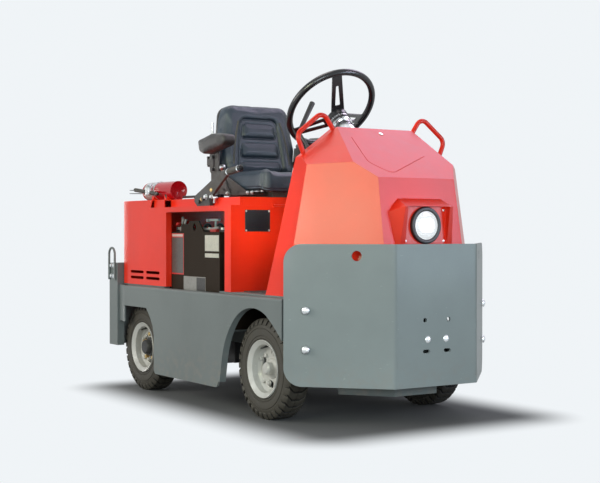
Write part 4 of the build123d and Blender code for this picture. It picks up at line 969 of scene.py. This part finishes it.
def battery_terminals():
    """At each side's edge: moulded lead with its boots, red clamps, and a block of small plugs."""
    leads, clamps, plugs = Form(), Form(), Form()
    top = BATTERY_TOP
    for side in (-1, 1):
        y = side * 0.425
        leads.block((0.002, y, top + 0.053), (0.078, 0.016, 0.010))
        leads.block((-0.058, y, top + 0.052), (0.014, 0.014, 0.012))
        leads.block((0.010, y, top + 0.028), (0.008, 0.008, 0.044))
        leads.pipe([(-0.150 + 0.195 * t, y + side * 0.004, top + 0.019 - 0.007 * sin(pi * t) ** 2)
                    for t in (0, 0.1, 0.25, 0.4, 0.55, 0.7, 0.85, 1.0)], 0.0055, 12)
        leads.block((-0.288, y, top + 0.012), (0.046, 0.020, 0.016))
        y = side * 0.432
        clamps.block((0.016, y, top + 0.006), (0.052, 0.024, 0.012))
        clamps.block((-0.335, y, top + 0.036), (0.022, 0.018, 0.010), Matrix.Rotation(radians(-35), 3, "Y"))
        y = side * 0.41
        for x, z, lean in ((-0.352, 0.052, 20), (-0.338, 0.060, -15), (-0.322, 0.048, 10)):
            axis = (sin(radians(lean)), 0.2, cos(radians(lean)))
            plugs.lathe((x, y, top + z - 0.03), axis, (
                (0, 0.003), (0.018, 0.0032), (0.020, 0.0055), (0.040, 0.0058), (0.043, 0.003)), 12)
        plugs.block((-0.336, y, top + 0.011), (0.060, 0.030, 0.022))
    leads.done("battery_connectors", "cable", bevel=0.003)
    clamps.done("battery_red_clamps", "red_cable", bevel=0.002)
    plugs.done("battery_plugs", "cable", bevel=0.001)


class TUG_OT_seat(bpy.types.Operator):
    """Upholster the seat: cushion, back with three pillows, armrests, their piping and the fittings"""
    bl_idname = "tug.seat"
    bl_label = "Seat"

    def execute(self, context):
        folded_skin("seat_frame", "frame", 0.0015)
        seat_back_pad()
        seat_cushion_pad()
        arms = foam_pad("armrests", "armrest_pads", "arm_vinyl", 0.005, 0.004, 2.0, -0.0005, 0.010, 3)
        seat_fittings()
        return {"FINISHED"}


def seat_back_pad():
    """Back pad: bolsters round a sunken field with three pillows, and a moulded shell behind."""
    lean = radians(8)
    out, up = Vector((cos(lean), 0, sin(lean))), Vector((-sin(lean), 0, cos(lean)))
    # foot of the pad's middle plane, and how far behind that plane the shell and its board begin
    foot, shell, board = Vector((-0.350, 0, 1.030)), -0.012, -0.030
    pad = foam_pad("seat_back", "back_pad", ("vinyl", "plastic"), 0.0055, 0.007, 3.0, 0.0012, 0.010, 16,
                   lambda p: (p - foot).dot(out) < board)
    # pillows: middle height, half height, half width low and high
    pillows = ((0.218, 0.034, 0.092, 0.084), (0.1245, 0.034, 0.104, 0.098), (0.030, 0.036, 0.118, 0.108))
    # how far the bolsters swell, the field is dished and the seam between them is drawn in
    swell, dish, stitch = 0.0065, 0.0055, 0.0075

    def sculpt(point, normal):
        part = point - foot
        across, h, deep = part.y, part.dot(up), part.dot(out)
        if normal.dot(out) < 0.05 or deep < 0.0:
            # welt between the padded front and the moulded shell
            seam = abs(deep - shell)
            return -normal * 0.004 * (1 - ease(seam, 0.0, 0.006)) if seam < 0.006 else None
        # the field narrows towards its top; its edge is stitched down below the bolsters
        field = rounded_box(across, h - 0.116, 0.124 - 0.118 * (h - 0.05) * 0.9, 0.160, 0.030)
        lift = swell * ease(field, -0.004, 0.020) - dish * ease(-field, -0.002, 0.010)
        lift -= stitch * (1 - ease(abs(field + 0.002), 0.0, 0.006)) * ease(h, 0.0, 0.08)
        for middle, half, wide_low, wide_high in pillows:
            t = (h - middle + half) / (2 * half)
            wide = wide_low + (wide_high - wide_low) * min(1.0, max(0.0, t))
            edge = rounded_box(across, h - middle, wide, half, 0.018)
            if edge < 0:
                puff = sqrt(min(1.0, -edge / 0.026))
                lift += (0.0140 + 0.007 * (0.5 - t)) * puff * ease(-field, 0.0, 0.008)
            elif edge < 0.008:
                lift -= (0.0085 if h < middle else 0.0030) * (1 - edge / 0.008)
        return out * lift * ease(normal.dot(out), 0.05, 0.5)

    press(pad, sculpt)
    for face in pad.data.polygons:
        if (face.center - foot).dot(out) < shell:
            face.material_index = 1
    # double piping down each side of the field, from high on the back outwards to its foot
    top, spread = 0.262, 0.040 / 0.20
    piping = Form()
    for side in (-1, 1):
        for gap in (-0.0028, 0.0028):
            line = []
            for k in range(27):
                fall = 0.008 * k
                across = 0.1145 + gap + spread * fall + 0.006 * sin(pi * fall / 0.20)
                line.append(foot + up * (top - fall) + Vector((0, side * across, 0)))
            piping.pipe(draped(pad, line, -out, 0.0004), 0.0013, 8)
    piping.done("back_piping", "piping", body_of_node("seat_back"))


def seat_cushion_pad():
    """Seat cushion: side bolsters, a dished middle and a front roll, stitched apart."""
    low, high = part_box("seat_cushion")
    middle = (low + high) / 2
    pad = foam_pad("seat_cushion", "cushion_pad", "vinyl", 0.0068, 0.009, 4.0, 0.0, 0.012, 16,
                   lambda p: p.z < low.z + 0.008)
    # how far the bolsters swell, the middle is dished, the front roll rises and the rear edge falls
    swell, dish, roll, fall = 0.013, 0.009, 0.006, 0.010
    seams = (high.x - 0.085, middle.x + 0.035, middle.x - 0.055)
    crowns = (high.x - 0.042, middle.x - 0.010, middle.x - 0.105)

    def sculpt(point, normal):
        across = abs(point.y - middle.y)
        top = ease(normal.z, 0.1, 0.7)
        front = ease(point.x, high.x - 0.085, high.x - 0.045)
        rear = ease(low.x + 0.09 - point.x, 0.0, 0.05)
        lift = 0.0
        if top > 0:
            seam = across - 0.142 - 0.02 * front
            bolster = ease(seam, -0.004, 0.022)
            sunk = dish * (1 - bolster) * (1 - front)
            lift += top * (swell * bolster - sunk + roll * front - fall * rear)
            lift -= top * 0.0050 * (1 - ease(abs(seam), 0.0, 0.006)) * (1 - front)
            for x in seams:
                lift -= top * 0.0012 * (1 - ease(abs(point.x - x), 0.0, 0.007)) * (1 - bolster)
            for x in crowns:
                crown = 1 - ease(abs(point.x - x), 0.0, 0.038)
                lift += top * 0.0030 * crown * (1 - bolster) * (1 - front * 0.5)
        move = Vector((0, 0, lift))
        # the front roll hangs a little lower, and its corners are drawn in by a crease
        if point.x > high.x - 0.05 and point.z < middle.z:
            lowness = ease(middle.z - point.z, 0.0, 0.02)
            move.z -= 0.010 * ease(point.x, high.x - 0.05, high.x - 0.01) * lowness
        crease = abs((point.x - (high.x - 0.070)) - (across - 0.17) * 0.8)
        if across > 0.16 and normal.z < 0.8:
            move -= normal * 0.0025 * (1 - ease(crease, 0.0, 0.010)) * ease(across, 0.16, 0.20)
        welt = abs(point.z - (low.z + 0.013))
        if normal.z < 0.6 and welt < 0.005:
            move -= normal * 0.0030 * (1 - welt / 0.005)
        return move

    press(pad, sculpt)


def seat_fittings():
    """Knob, threaded rod, post bracket bolts and slide nuts at the sides of the seat."""
    body = body_of_node("seat_cushion")
    steel, dark, stem = Form(), Form(), Form()
    for side in (-1, 1):
        out = Vector((0, side, 0))
        flank = side * 0.2443       # outer face of the seat frame's side plates
        # rake knob on its stem
        place, lean = (-0.252, side * 0.243, 1.050), (0.55, side * 0.35, 0.75)
        stem.lathe(place, lean, ((0, 0.0085), (0.020, 0.0085), (0.021, 0.006)), 20)
        steel.lathe(place, lean, (
            (0.016, 0.007), (0.017, 0.0125), (0.026, 0.0140), (0.033, 0.0125), (0.035, 0.006)), 8)
        # threaded rod that sets the weight, from the post down to the slide
        rod = [Vector((x, side * y, z)) for x, y, z in (
            (-0.2158, 0.2475, 1.010), (-0.2075, 0.2485, 0.994), (-0.192, 0.2485, 0.972),
            (-0.178, 0.2475, 0.950), (-0.174, 0.2465, 0.940))]
        dark.pipe(rod, 0.0048, 12)
        for k in range(9):
            dark.lathe(rod[1].lerp(rod[3], k / 8), rod[3] - rod[1],
                       ((-0.0012, 0.0050), (0, 0.0062), (0.0012, 0.0050)), 12)
        # black cups with a sunken middle in each side plate: their black is painted shade for the holes there
        for x, z, radius in ((-0.2423, 0.9633, 0.0075), (-0.300, 0.955, 0.0065), (-0.110, 0.948, 0.0065)):
            dark.lathe((x, flank - side * 0.0004, z), out, (
                (0, radius), (0.0016, radius), (0.0016, radius * 0.6), (0.0004, radius * 0.55)), 20)
        for x, z in ((-0.205, 0.946), (-0.020, 0.945), (0.020, 0.945)):
            hex_bolt(steel, (x, flank, z), out, 0.0125, 0.007)
        for z in (1.062, 1.120):
            hex_bolt(dark, (-0.345, flank, z), out, 0.015, 0.007)
        # ends of the slides, with their latch strip
        for x in (0.006, 0.050):
            hex_bolt(steel, (x, side * 0.212, 0.948), UP, 0.011, 0.006)
        steel.block((0.028, side * 0.235, 0.9497), (0.075, 0.010, 0.003))
        # threaded post under the armrest
        post_x, post_y = -0.345, side * 0.2465
        steel.pipe([(post_x, post_y, z) for z in (1.172, 1.230, 1.284)], 0.0050, 12)
        for k in range(9):
            steel.lathe((post_x, post_y, 1.232 + 0.006 * k), UP, (
                (-0.0020, 0.0050), (-0.0004, 0.0072), (0.0004, 0.0072), (0.0020, 0.0050)), 14)
    steel.done("seat_bright_fittings", "zinc", body, 0.0004, 1)
    dark.done("seat_dark_fittings", "plastic", body)
    stem.done("seat_knob_stems", "beige", body)


class TUG_OT_controls(bpy.types.Operator):
    """Steering wheel, column, levers, pedals and dash"""
    bl_idname = "tug.controls"
    bl_label = "Controls"

    def execute(self, context):
        wheel = Vector(JOINT["steering_wheel_turn"]["pos_m"])
        axis = Vector(JOINT["steering_wheel_turn"]["axis"]).normalized()
        if axis.z < 0:
            axis = -axis
        # the column's bright tube ends in a black collar just under the wheel
        column = coat_node("steering_column", "column")
        column.data.materials.append(PAINTS["gloss_black"])
        collar = max((vertex.co - wheel).dot(axis) for vertex in column.data.vertices) - 0.0225
        for face in column.data.polygons:
            face.material_index = 1 if (face.center - wheel).dot(axis) > collar else 0
        ring = Form().lathe(wheel + axis * collar, axis, (
            (-0.004, 0.0425), (-0.004, 0.0470), (0.0, 0.0482), (0.006, 0.0482), (0.009, 0.0468)), 48)
        ring.done("column_collar_ring", "gloss_black")
        # the horn button caps the wheel's boss
        heights = []
        for vertex in coat_node("steering_wheel", "gloss_black").data.vertices:
            arm = vertex.co - wheel
            if (arm - axis * arm.dot(axis)).length < 0.046:
                heights.append(arm.dot(axis))
        button = Form().lathe(wheel + axis * (max(heights) - 0.001), axis, (
            (0.0, 0.030), (0.004, 0.030), (0.0065, 0.028), (0.008, 0.021), (0.0086, 0.005)), 40)
        button.done("horn_button", "plastic", body_of_node("steering_wheel"))
        coat_node("direction_lever", "plastic")
        folded_skin("dash", "plastic", 0.001)
        folded_skin("pedals", "casting", 0.0015)
        brake_lever()
        return {"FINISHED"}


def brake_lever():
    """Parking brake: folded bracket, brass and bright bolts, ribbed grip with its release button."""
    folded_skin("parking_brake", "frame", 0.0012)
    root, axis = Vector((0.160, -0.457, 1.022)), Vector((119, 0, 15)).normalized()
    profile = [(0.020, 0.0128)]
    for k in range(9):
        s = 0.024 + k * 0.0094
        profile += [(s, 0.0136), (s + 0.0046, 0.0142), (s + 0.0062, 0.0132)]
    Form().lathe(root, axis, profile + [(0.1085, 0.0136)], 28).done("brake_grip", "brown_grip")
    ring = Form()
    ring.lathe(root, axis, ((0.1080, 0.0136), (0.1085, 0.0150), (0.1125, 0.0150), (0.1130, 0.0136)), 28)
    ring.lathe(root, axis, ((0.0195, 0.0140), (0.0200, 0.0150), (0.0235, 0.0150), (0.0240, 0.0138)), 28)
    ring.done("brake_grip_rings", "zinc")
    end = Form().lathe(root, axis, (
        (0.1125, 0.0138), (0.1190, 0.0146), (0.1250, 0.0140), (0.1290, 0.0110), (0.1300, 0.004)), 28)
    end.done("brake_button", "gloss_black")
    # screws in the bracket's outer face
    face = -0.4643
    brass, bright = Form(), Form()
    for x, z in ((0.0398, 0.9509), (-0.0480, 0.9126)):
        dome_bolt(brass, (x, face, z), RIGHT, 0.0070, 0.0045, 0.0090)
    for x, z, across in ((-0.0063, 0.9227, 0.017), (0.0466, 0.9216, 0.013)):
        hex_bolt(bright, (x, face, z), RIGHT, across, 0.010)
    bright.lathe((0.0520, -0.4545, 0.895), (0.25, 0, 1), (
        (0, 0.007), (0.018, 0.007), (0.020, 0.010), (0.027, 0.010), (0.029, 0.006)), 20)
    brass.done("brake_brass_screws", "brass")
    bright.done("brake_bright_bolts", "zinc", bevel=0.0004, segments=1)
    # rod from the lever back along the deck, through two guide blocks
    y, z = -0.405, 0.9295
    link = Form().pipe([(x, y, z) for x in (-0.335, -0.240, -0.120, 0.030)], 0.0058, 14)
    for x in (-0.200, 0.020):
        link.block((x, y, z - 0.003), (0.020, 0.022, 0.016))
    link.done("brake_rod", "gloss_black", body_of_node("seat_deck"), 0.0006, 1)


class TUG_OT_fittings(bpy.types.Operator):
    """Head lamp, extinguisher and floor mat"""
    bl_idname = "tug.fittings"
    bl_label = "Lamp And Fittings"

    def execute(self, context):
        low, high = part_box("headlight")
        centre = Vector((low.x, 0, (low.z + high.z) / 2))
        ring = Form().lathe(centre, AHEAD, (
            (0.0, 0.0735), (0.010, 0.0735), (0.0135, 0.0715), (0.0155, 0.066), (0.0145, 0.060),
            (0.0120, 0.0565), (0.009, 0.0565)), 64)
        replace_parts(ring.done("lamp_ring", "plastic"), "headlight")
        glass = Form().lathe(centre, AHEAD, (
            (0.004, 0.0565), (0.0105, 0.0565), (0.0130, 0.050), (0.0146, 0.036), (0.0152, 0.018),
            (0.0154, 0.003)), 64)
        glass.done("lamp_glass", "lens", slot="lamp_glass")
        screws = Form()
        for y in (-0.096, 0.096):
            for z in (0.856, 0.734):
                dome_bolt(screws, (low.x, y, z), AHEAD, 0.0062, 0.003)
        screws.done("lamp_screws", "zinc")
        extinguisher_dress()
        thick = 0.004
        mat = Form().block((0.385, 0.0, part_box("deck_plates")[1].z + thick / 2), (0.245, 0.86, thick))
        mat.done("floor_mat", "mat", bevel=0.001)
        return {"FINISHED"}


def extinguisher_dress():
    """Extinguisher: enamelled bottle, bright neck, black levers, blank silver label, strap and latch."""
    radius, centre_y, centre_z = 0.044, -0.395, 0.963
    shoulder = -0.7325

    def bottle_part(point):
        """Bottle 0, neck 1, levers 2."""
        if point.x > shoulder:
            return 0
        beyond_neck = point.y < centre_y - 0.012 and abs(point.z - centre_z) > 0.0135
        return 2 if beyond_neck or point.y < centre_y - 0.0165 else 1

    def cradle_part(point):
        """Cradle 0, strap 1, foot 2."""
        if point.z < 0.935:
            return 2
        return 1 if -0.6075 < point.x < -0.5805 and (point.z > 0.948 or point.y < -0.43) else 0

    folded_skin("extinguisher", ("bottle", "zinc", "plastic"), 0.0, 1, 30, bottle_part)
    label = Form().lathe((-0.690, centre_y, centre_z), AHEAD, (
        (0.0, radius + 0.0001), (0.0006, radius + 0.0002), (0.112, radius + 0.0002),
        (0.1126, radius + 0.0001)), 72, ends=False)
    label.done("bottle_label", "silver_label", body_of_node("extinguisher"))
    folded_skin("bottle_cradle", ("frame", "zinc", "body"), 0.0, 2, 35, cradle_part)
    # rubber grips on the latch bar, and the bright latch between them
    cradle = body_of_node("bottle_cradle")
    start, bar = Vector((-0.750, -0.457, 0.973)), Vector((290, 0, -30)).normalized()
    grips = Form()
    for near, far in ((0.002, 0.128), (0.178, 0.247)):
        profile = [(near - 0.004, 0.005), (near, 0.0082)]
        s = near + 0.002
        while s < far - 0.008:
            profile += [(s, 0.0092), (s + 0.0045, 0.0096), (s + 0.0060, 0.0088)]
            s += 0.0078
        grips.lathe(start, bar, profile + [(far, 0.0086), (far + 0.002, 0.0060)], 24)
    grips.done("latch_bar_grips", "brown_grip", cradle)
    gap = 0.153     # middle of the gap between the grips, along the bar
    place = start + bar * gap
    latch = Form().block(place + Vector((0, 0.004, 0.006)), (0.034, 0.026, 0.034))
    tipped = Matrix.Rotation(radians(35), 3, "X")
    latch.block(place + Vector((0, 0.014, 0.024)), (0.030, 0.012, 0.040), tipped)
    for along in (-0.010, 0.010):
        dome_bolt(latch, start + bar * (gap + along) + Vector((0, -0.009, 0.010)), RIGHT, 0.0042, 0.0026)
    latch.done("strap_latch", "zinc", cradle, 0.0016, 2)


class TUG_OT_running_gear(bpy.types.Operator):
    """Finish the axles, knuckles and tie rod"""
    bl_idname = "tug.running_gear"
    bl_label = "Running Gear"

    def execute(self, context):
        for node in ("front_axle", "rear_axle", "knuckle_right", "knuckle_left", "tie_rod"):
            folded_skin(node, "casting", 0.001, 1, 30)
        return {"FINISHED"}


class TUG_OT_stage(bpy.types.Operator):
    """Floor, backdrop, soft lamps and camera"""
    bl_idname = "tug.stage"
    bl_label = "Stage"

    def execute(self, context):
        scene = context.scene
        settings = scene.tug_stage
        backdrop = (*settings.backdrop, 1.0)
        mesh = bpy.data.meshes.new("stage_floor")
        mesh.from_pydata([(-30, -30, 0), (30, -30, 0), (30, 30, 0), (-30, 30, 0)], [], [(0, 1, 2, 3)])
        mesh.materials.append(floor_finish(backdrop))
        floor = bpy.data.objects.new("stage_floor", mesh)
        scene.collection.objects.link(floor)
        scene.world = studio_air(backdrop)
        hang_lamps(scene, settings.key_watts, settings.fill_watts)
        lens = bpy.data.cameras.new("front_quarter_lens")
        lens.lens = 74.24
        lens.sensor_width = 36.0
        camera = bpy.data.objects.new("front_quarter_camera", lens)
        camera.location = (4.7891, -3.0601, 0.7785)
        look = Vector((-0.8409, 0.5412, -0.0096)).normalized()
        camera.rotation_euler = look.to_track_quat("-Z", "Y").to_euler()
        scene.collection.objects.link(camera)
        scene.camera = camera
        scene.view_settings.view_transform = "Standard"
        return {"FINISHED"}


def floor_finish(backdrop):
    """Dark grey floor near the tug, a painted shadow round its footprint, that fades into the backdrop farther
    from the footprint.
    """
    # dark grey near the footprint: painted shadow
    finish = Finish("stage_floor_finish", (0.13, 0.132, 0.134), 0.9)
    past_end = (abs(finish.axis("X") - 0.05) - 0.86).at_least(0.0)
    past_side = (abs(finish.axis("Y")) - 0.44).at_least(0.0)
    away = (past_end * past_end + past_side * past_side) ** 0.5
    glow = finish.node("Emission", Color=backdrop, Strength=1.0)
    mixer = finish.tree.nodes.new("ShaderNodeMixShader")
    feed(finish.tree, mixer.inputs[0], seen_by_eye(finish.tree) * finish.ramp(away, 0.02, 0.36))
    finish.tree.links.new(finish.shader.outputs[0], mixer.inputs[1])
    feed(finish.tree, mixer.inputs[2], glow)
    finish.tree.links.new(mixer.outputs[0], finish.tree.nodes["Material Output"].inputs["Surface"])
    return finish.material


def studio_air(backdrop):
    """World that shows as the plain backdrop and lights the tug with a soft, cool glow."""
    world = bpy.data.worlds.new("studio_air")
    world.use_nodes = True
    tree = world.node_tree
    tree.nodes.clear()
    out = tree.nodes.new("ShaderNodeOutputWorld")
    mixer = tree.nodes.new("ShaderNodeMixShader")
    feed(tree, mixer.inputs[0], seen_by_eye(tree))
    for slot, colour, strength in ((1, (0.90, 0.95, 1.0, 1.0), 0.30), (2, backdrop, 1.0)):
        glow = tree.nodes.new("ShaderNodeBackground")
        glow.inputs["Color"].default_value = colour
        glow.inputs["Strength"].default_value = strength
        tree.links.new(glow.outputs[0], mixer.inputs[slot])
    tree.links.new(mixer.outputs[0], out.inputs["Surface"])
    return world


def hang_lamps(scene, side, ahead):
    """Softboxes, and cards that only give shine; side and ahead are the watts of the two main ones."""
    # name, place, aimed at, width, height, watts, colour and, for a narrow one, beam in degrees
    boxes = (
        ("side_softbox", (-0.9, -4.3, 1.8), (-0.1, -0.4, 0.6), 2.2, 1.8,
         side * 1.16, (1.0, 0.98, 0.90)),
        ("corner_softbox", (2.64, -3.91, 1.99), (0.75, -0.33, 0.88), 1.2, 1.2,
         side * 0.08, (1.0, 0.99, 0.80)),
        ("corner_card", (2.65, -3.93, 1.99), (0.75, -0.33, 0.88), 1.2, 1.2,
         side * 1.4, (0.92, 1.0, 0.68)),
        ("ahead_softbox", (4.7, -1.8, 1.25), (0.9, 0.0, 0.6), 1.8, 1.2,
         ahead * 2.3, (0.86, 0.96, 1.0)),
        ("bumper_card", (4.15, 2.35, 0.80), (0.98, 0.0, 0.45), 1.6, 0.8,
         ahead * 1.6, (0.62, 0.82, 1.0)),
        ("front_card", (4.0, 2.52, 2.08), (0.90, 0.0, 0.90), 1.0, 1.0,
         ahead * 1.35, (0.94, 0.74, 1.0)),
        ("hood_card", (-0.16, 2.05, 3.65), (0.75, 0.0, 1.09), 1.6, 1.6,
         ahead * 0.85, (0.90, 0.72, 1.0)),
        ("top_softbox", (-0.40, -0.36, 4.12), (0.3, -0.2, 1.0), 1.4, 1.4,
         ahead * 0.75, (1.0, 0.86, 0.84)),
        ("footwell_softbox", (1.75, -2.3, 1.25), (0.27, -0.30, 0.80), 0.3, 0.3,
         side * 0.006, (1.0, 0.96, 0.9), 12),
        ("rear_card", (-4.8, -0.60, 0.85), (-0.80, -0.48, 0.72), 0.45, 1.6,
         ahead * 0.5, (1.0, 0.96, 0.92)),
    )
    for name, place, aim, width, height, watts, colour, *beam in boxes:
        light = bpy.data.lights.new(name, "AREA")
        light.shape = "RECTANGLE"
        light.size, light.size_y = width, height
        light.energy = watts
        light.spread = radians(beam[0] if beam else 180)
        light.color = colour
        lamp = bpy.data.objects.new(name, light)
        lamp.location = place
        lamp.visible_camera = False
        lamp.visible_diffuse = not name.endswith("_card")
        lamp.rotation_euler = (Vector(aim) - Vector(place)).to_track_quat("-Z", "Y").to_euler()
        scene.collection.objects.link(lamp)


class TUG_PT_panel(bpy.types.Panel):
    """Lists the tug's settings and the steps that build it"""
    bl_idname = "TUG_PT_panel"
    bl_label = "Baggage Tug"
    bl_space_type = "VIEW_3D"
    bl_region_type = "UI"
    bl_category = "Baggage Tug"

    def draw(self, context):
        layout = self.layout
        for settings in (context.scene.tug_paint, context.scene.tug_tyre, context.scene.tug_stage):
            box = layout.box()
            for label in settings.__annotations__:
                box.prop(settings, label)
        for step in STEPS:
            layout.operator(step.bl_idname)


STEPS = (TUG_OT_paints, TUG_OT_body, TUG_OT_chassis, TUG_OT_tyres, TUG_OT_battery, TUG_OT_seat,
         TUG_OT_controls, TUG_OT_fittings, TUG_OT_running_gear, TUG_OT_stage)
SETTINGS = (("tug_paint", TugPaintSettings), ("tug_tyre", TugTyreSettings), ("tug_stage", TugStageSettings))


def register():
    for name, settings in SETTINGS:
        bpy.utils.register_class(settings)
        setattr(bpy.types.Scene, name, PointerProperty(type=settings))
    for step in STEPS:
        bpy.utils.register_class(step)
    bpy.utils.register_class(TUG_PT_panel)


def unregister():
    bpy.utils.unregister_class(TUG_PT_panel)
    for step in reversed(STEPS):
        bpy.utils.unregister_class(step)
    for name, settings in reversed(SETTINGS):
        delattr(bpy.types.Scene, name)
        bpy.utils.unregister_class(settings)


def main():
    """Builds the dressed tug step by step."""
    register()
    for step in STEPS:
        group, name = step.bl_idname.split(".")
        getattr(getattr(bpy.ops, group), name)()


if __name__ == "__main__":
    main()
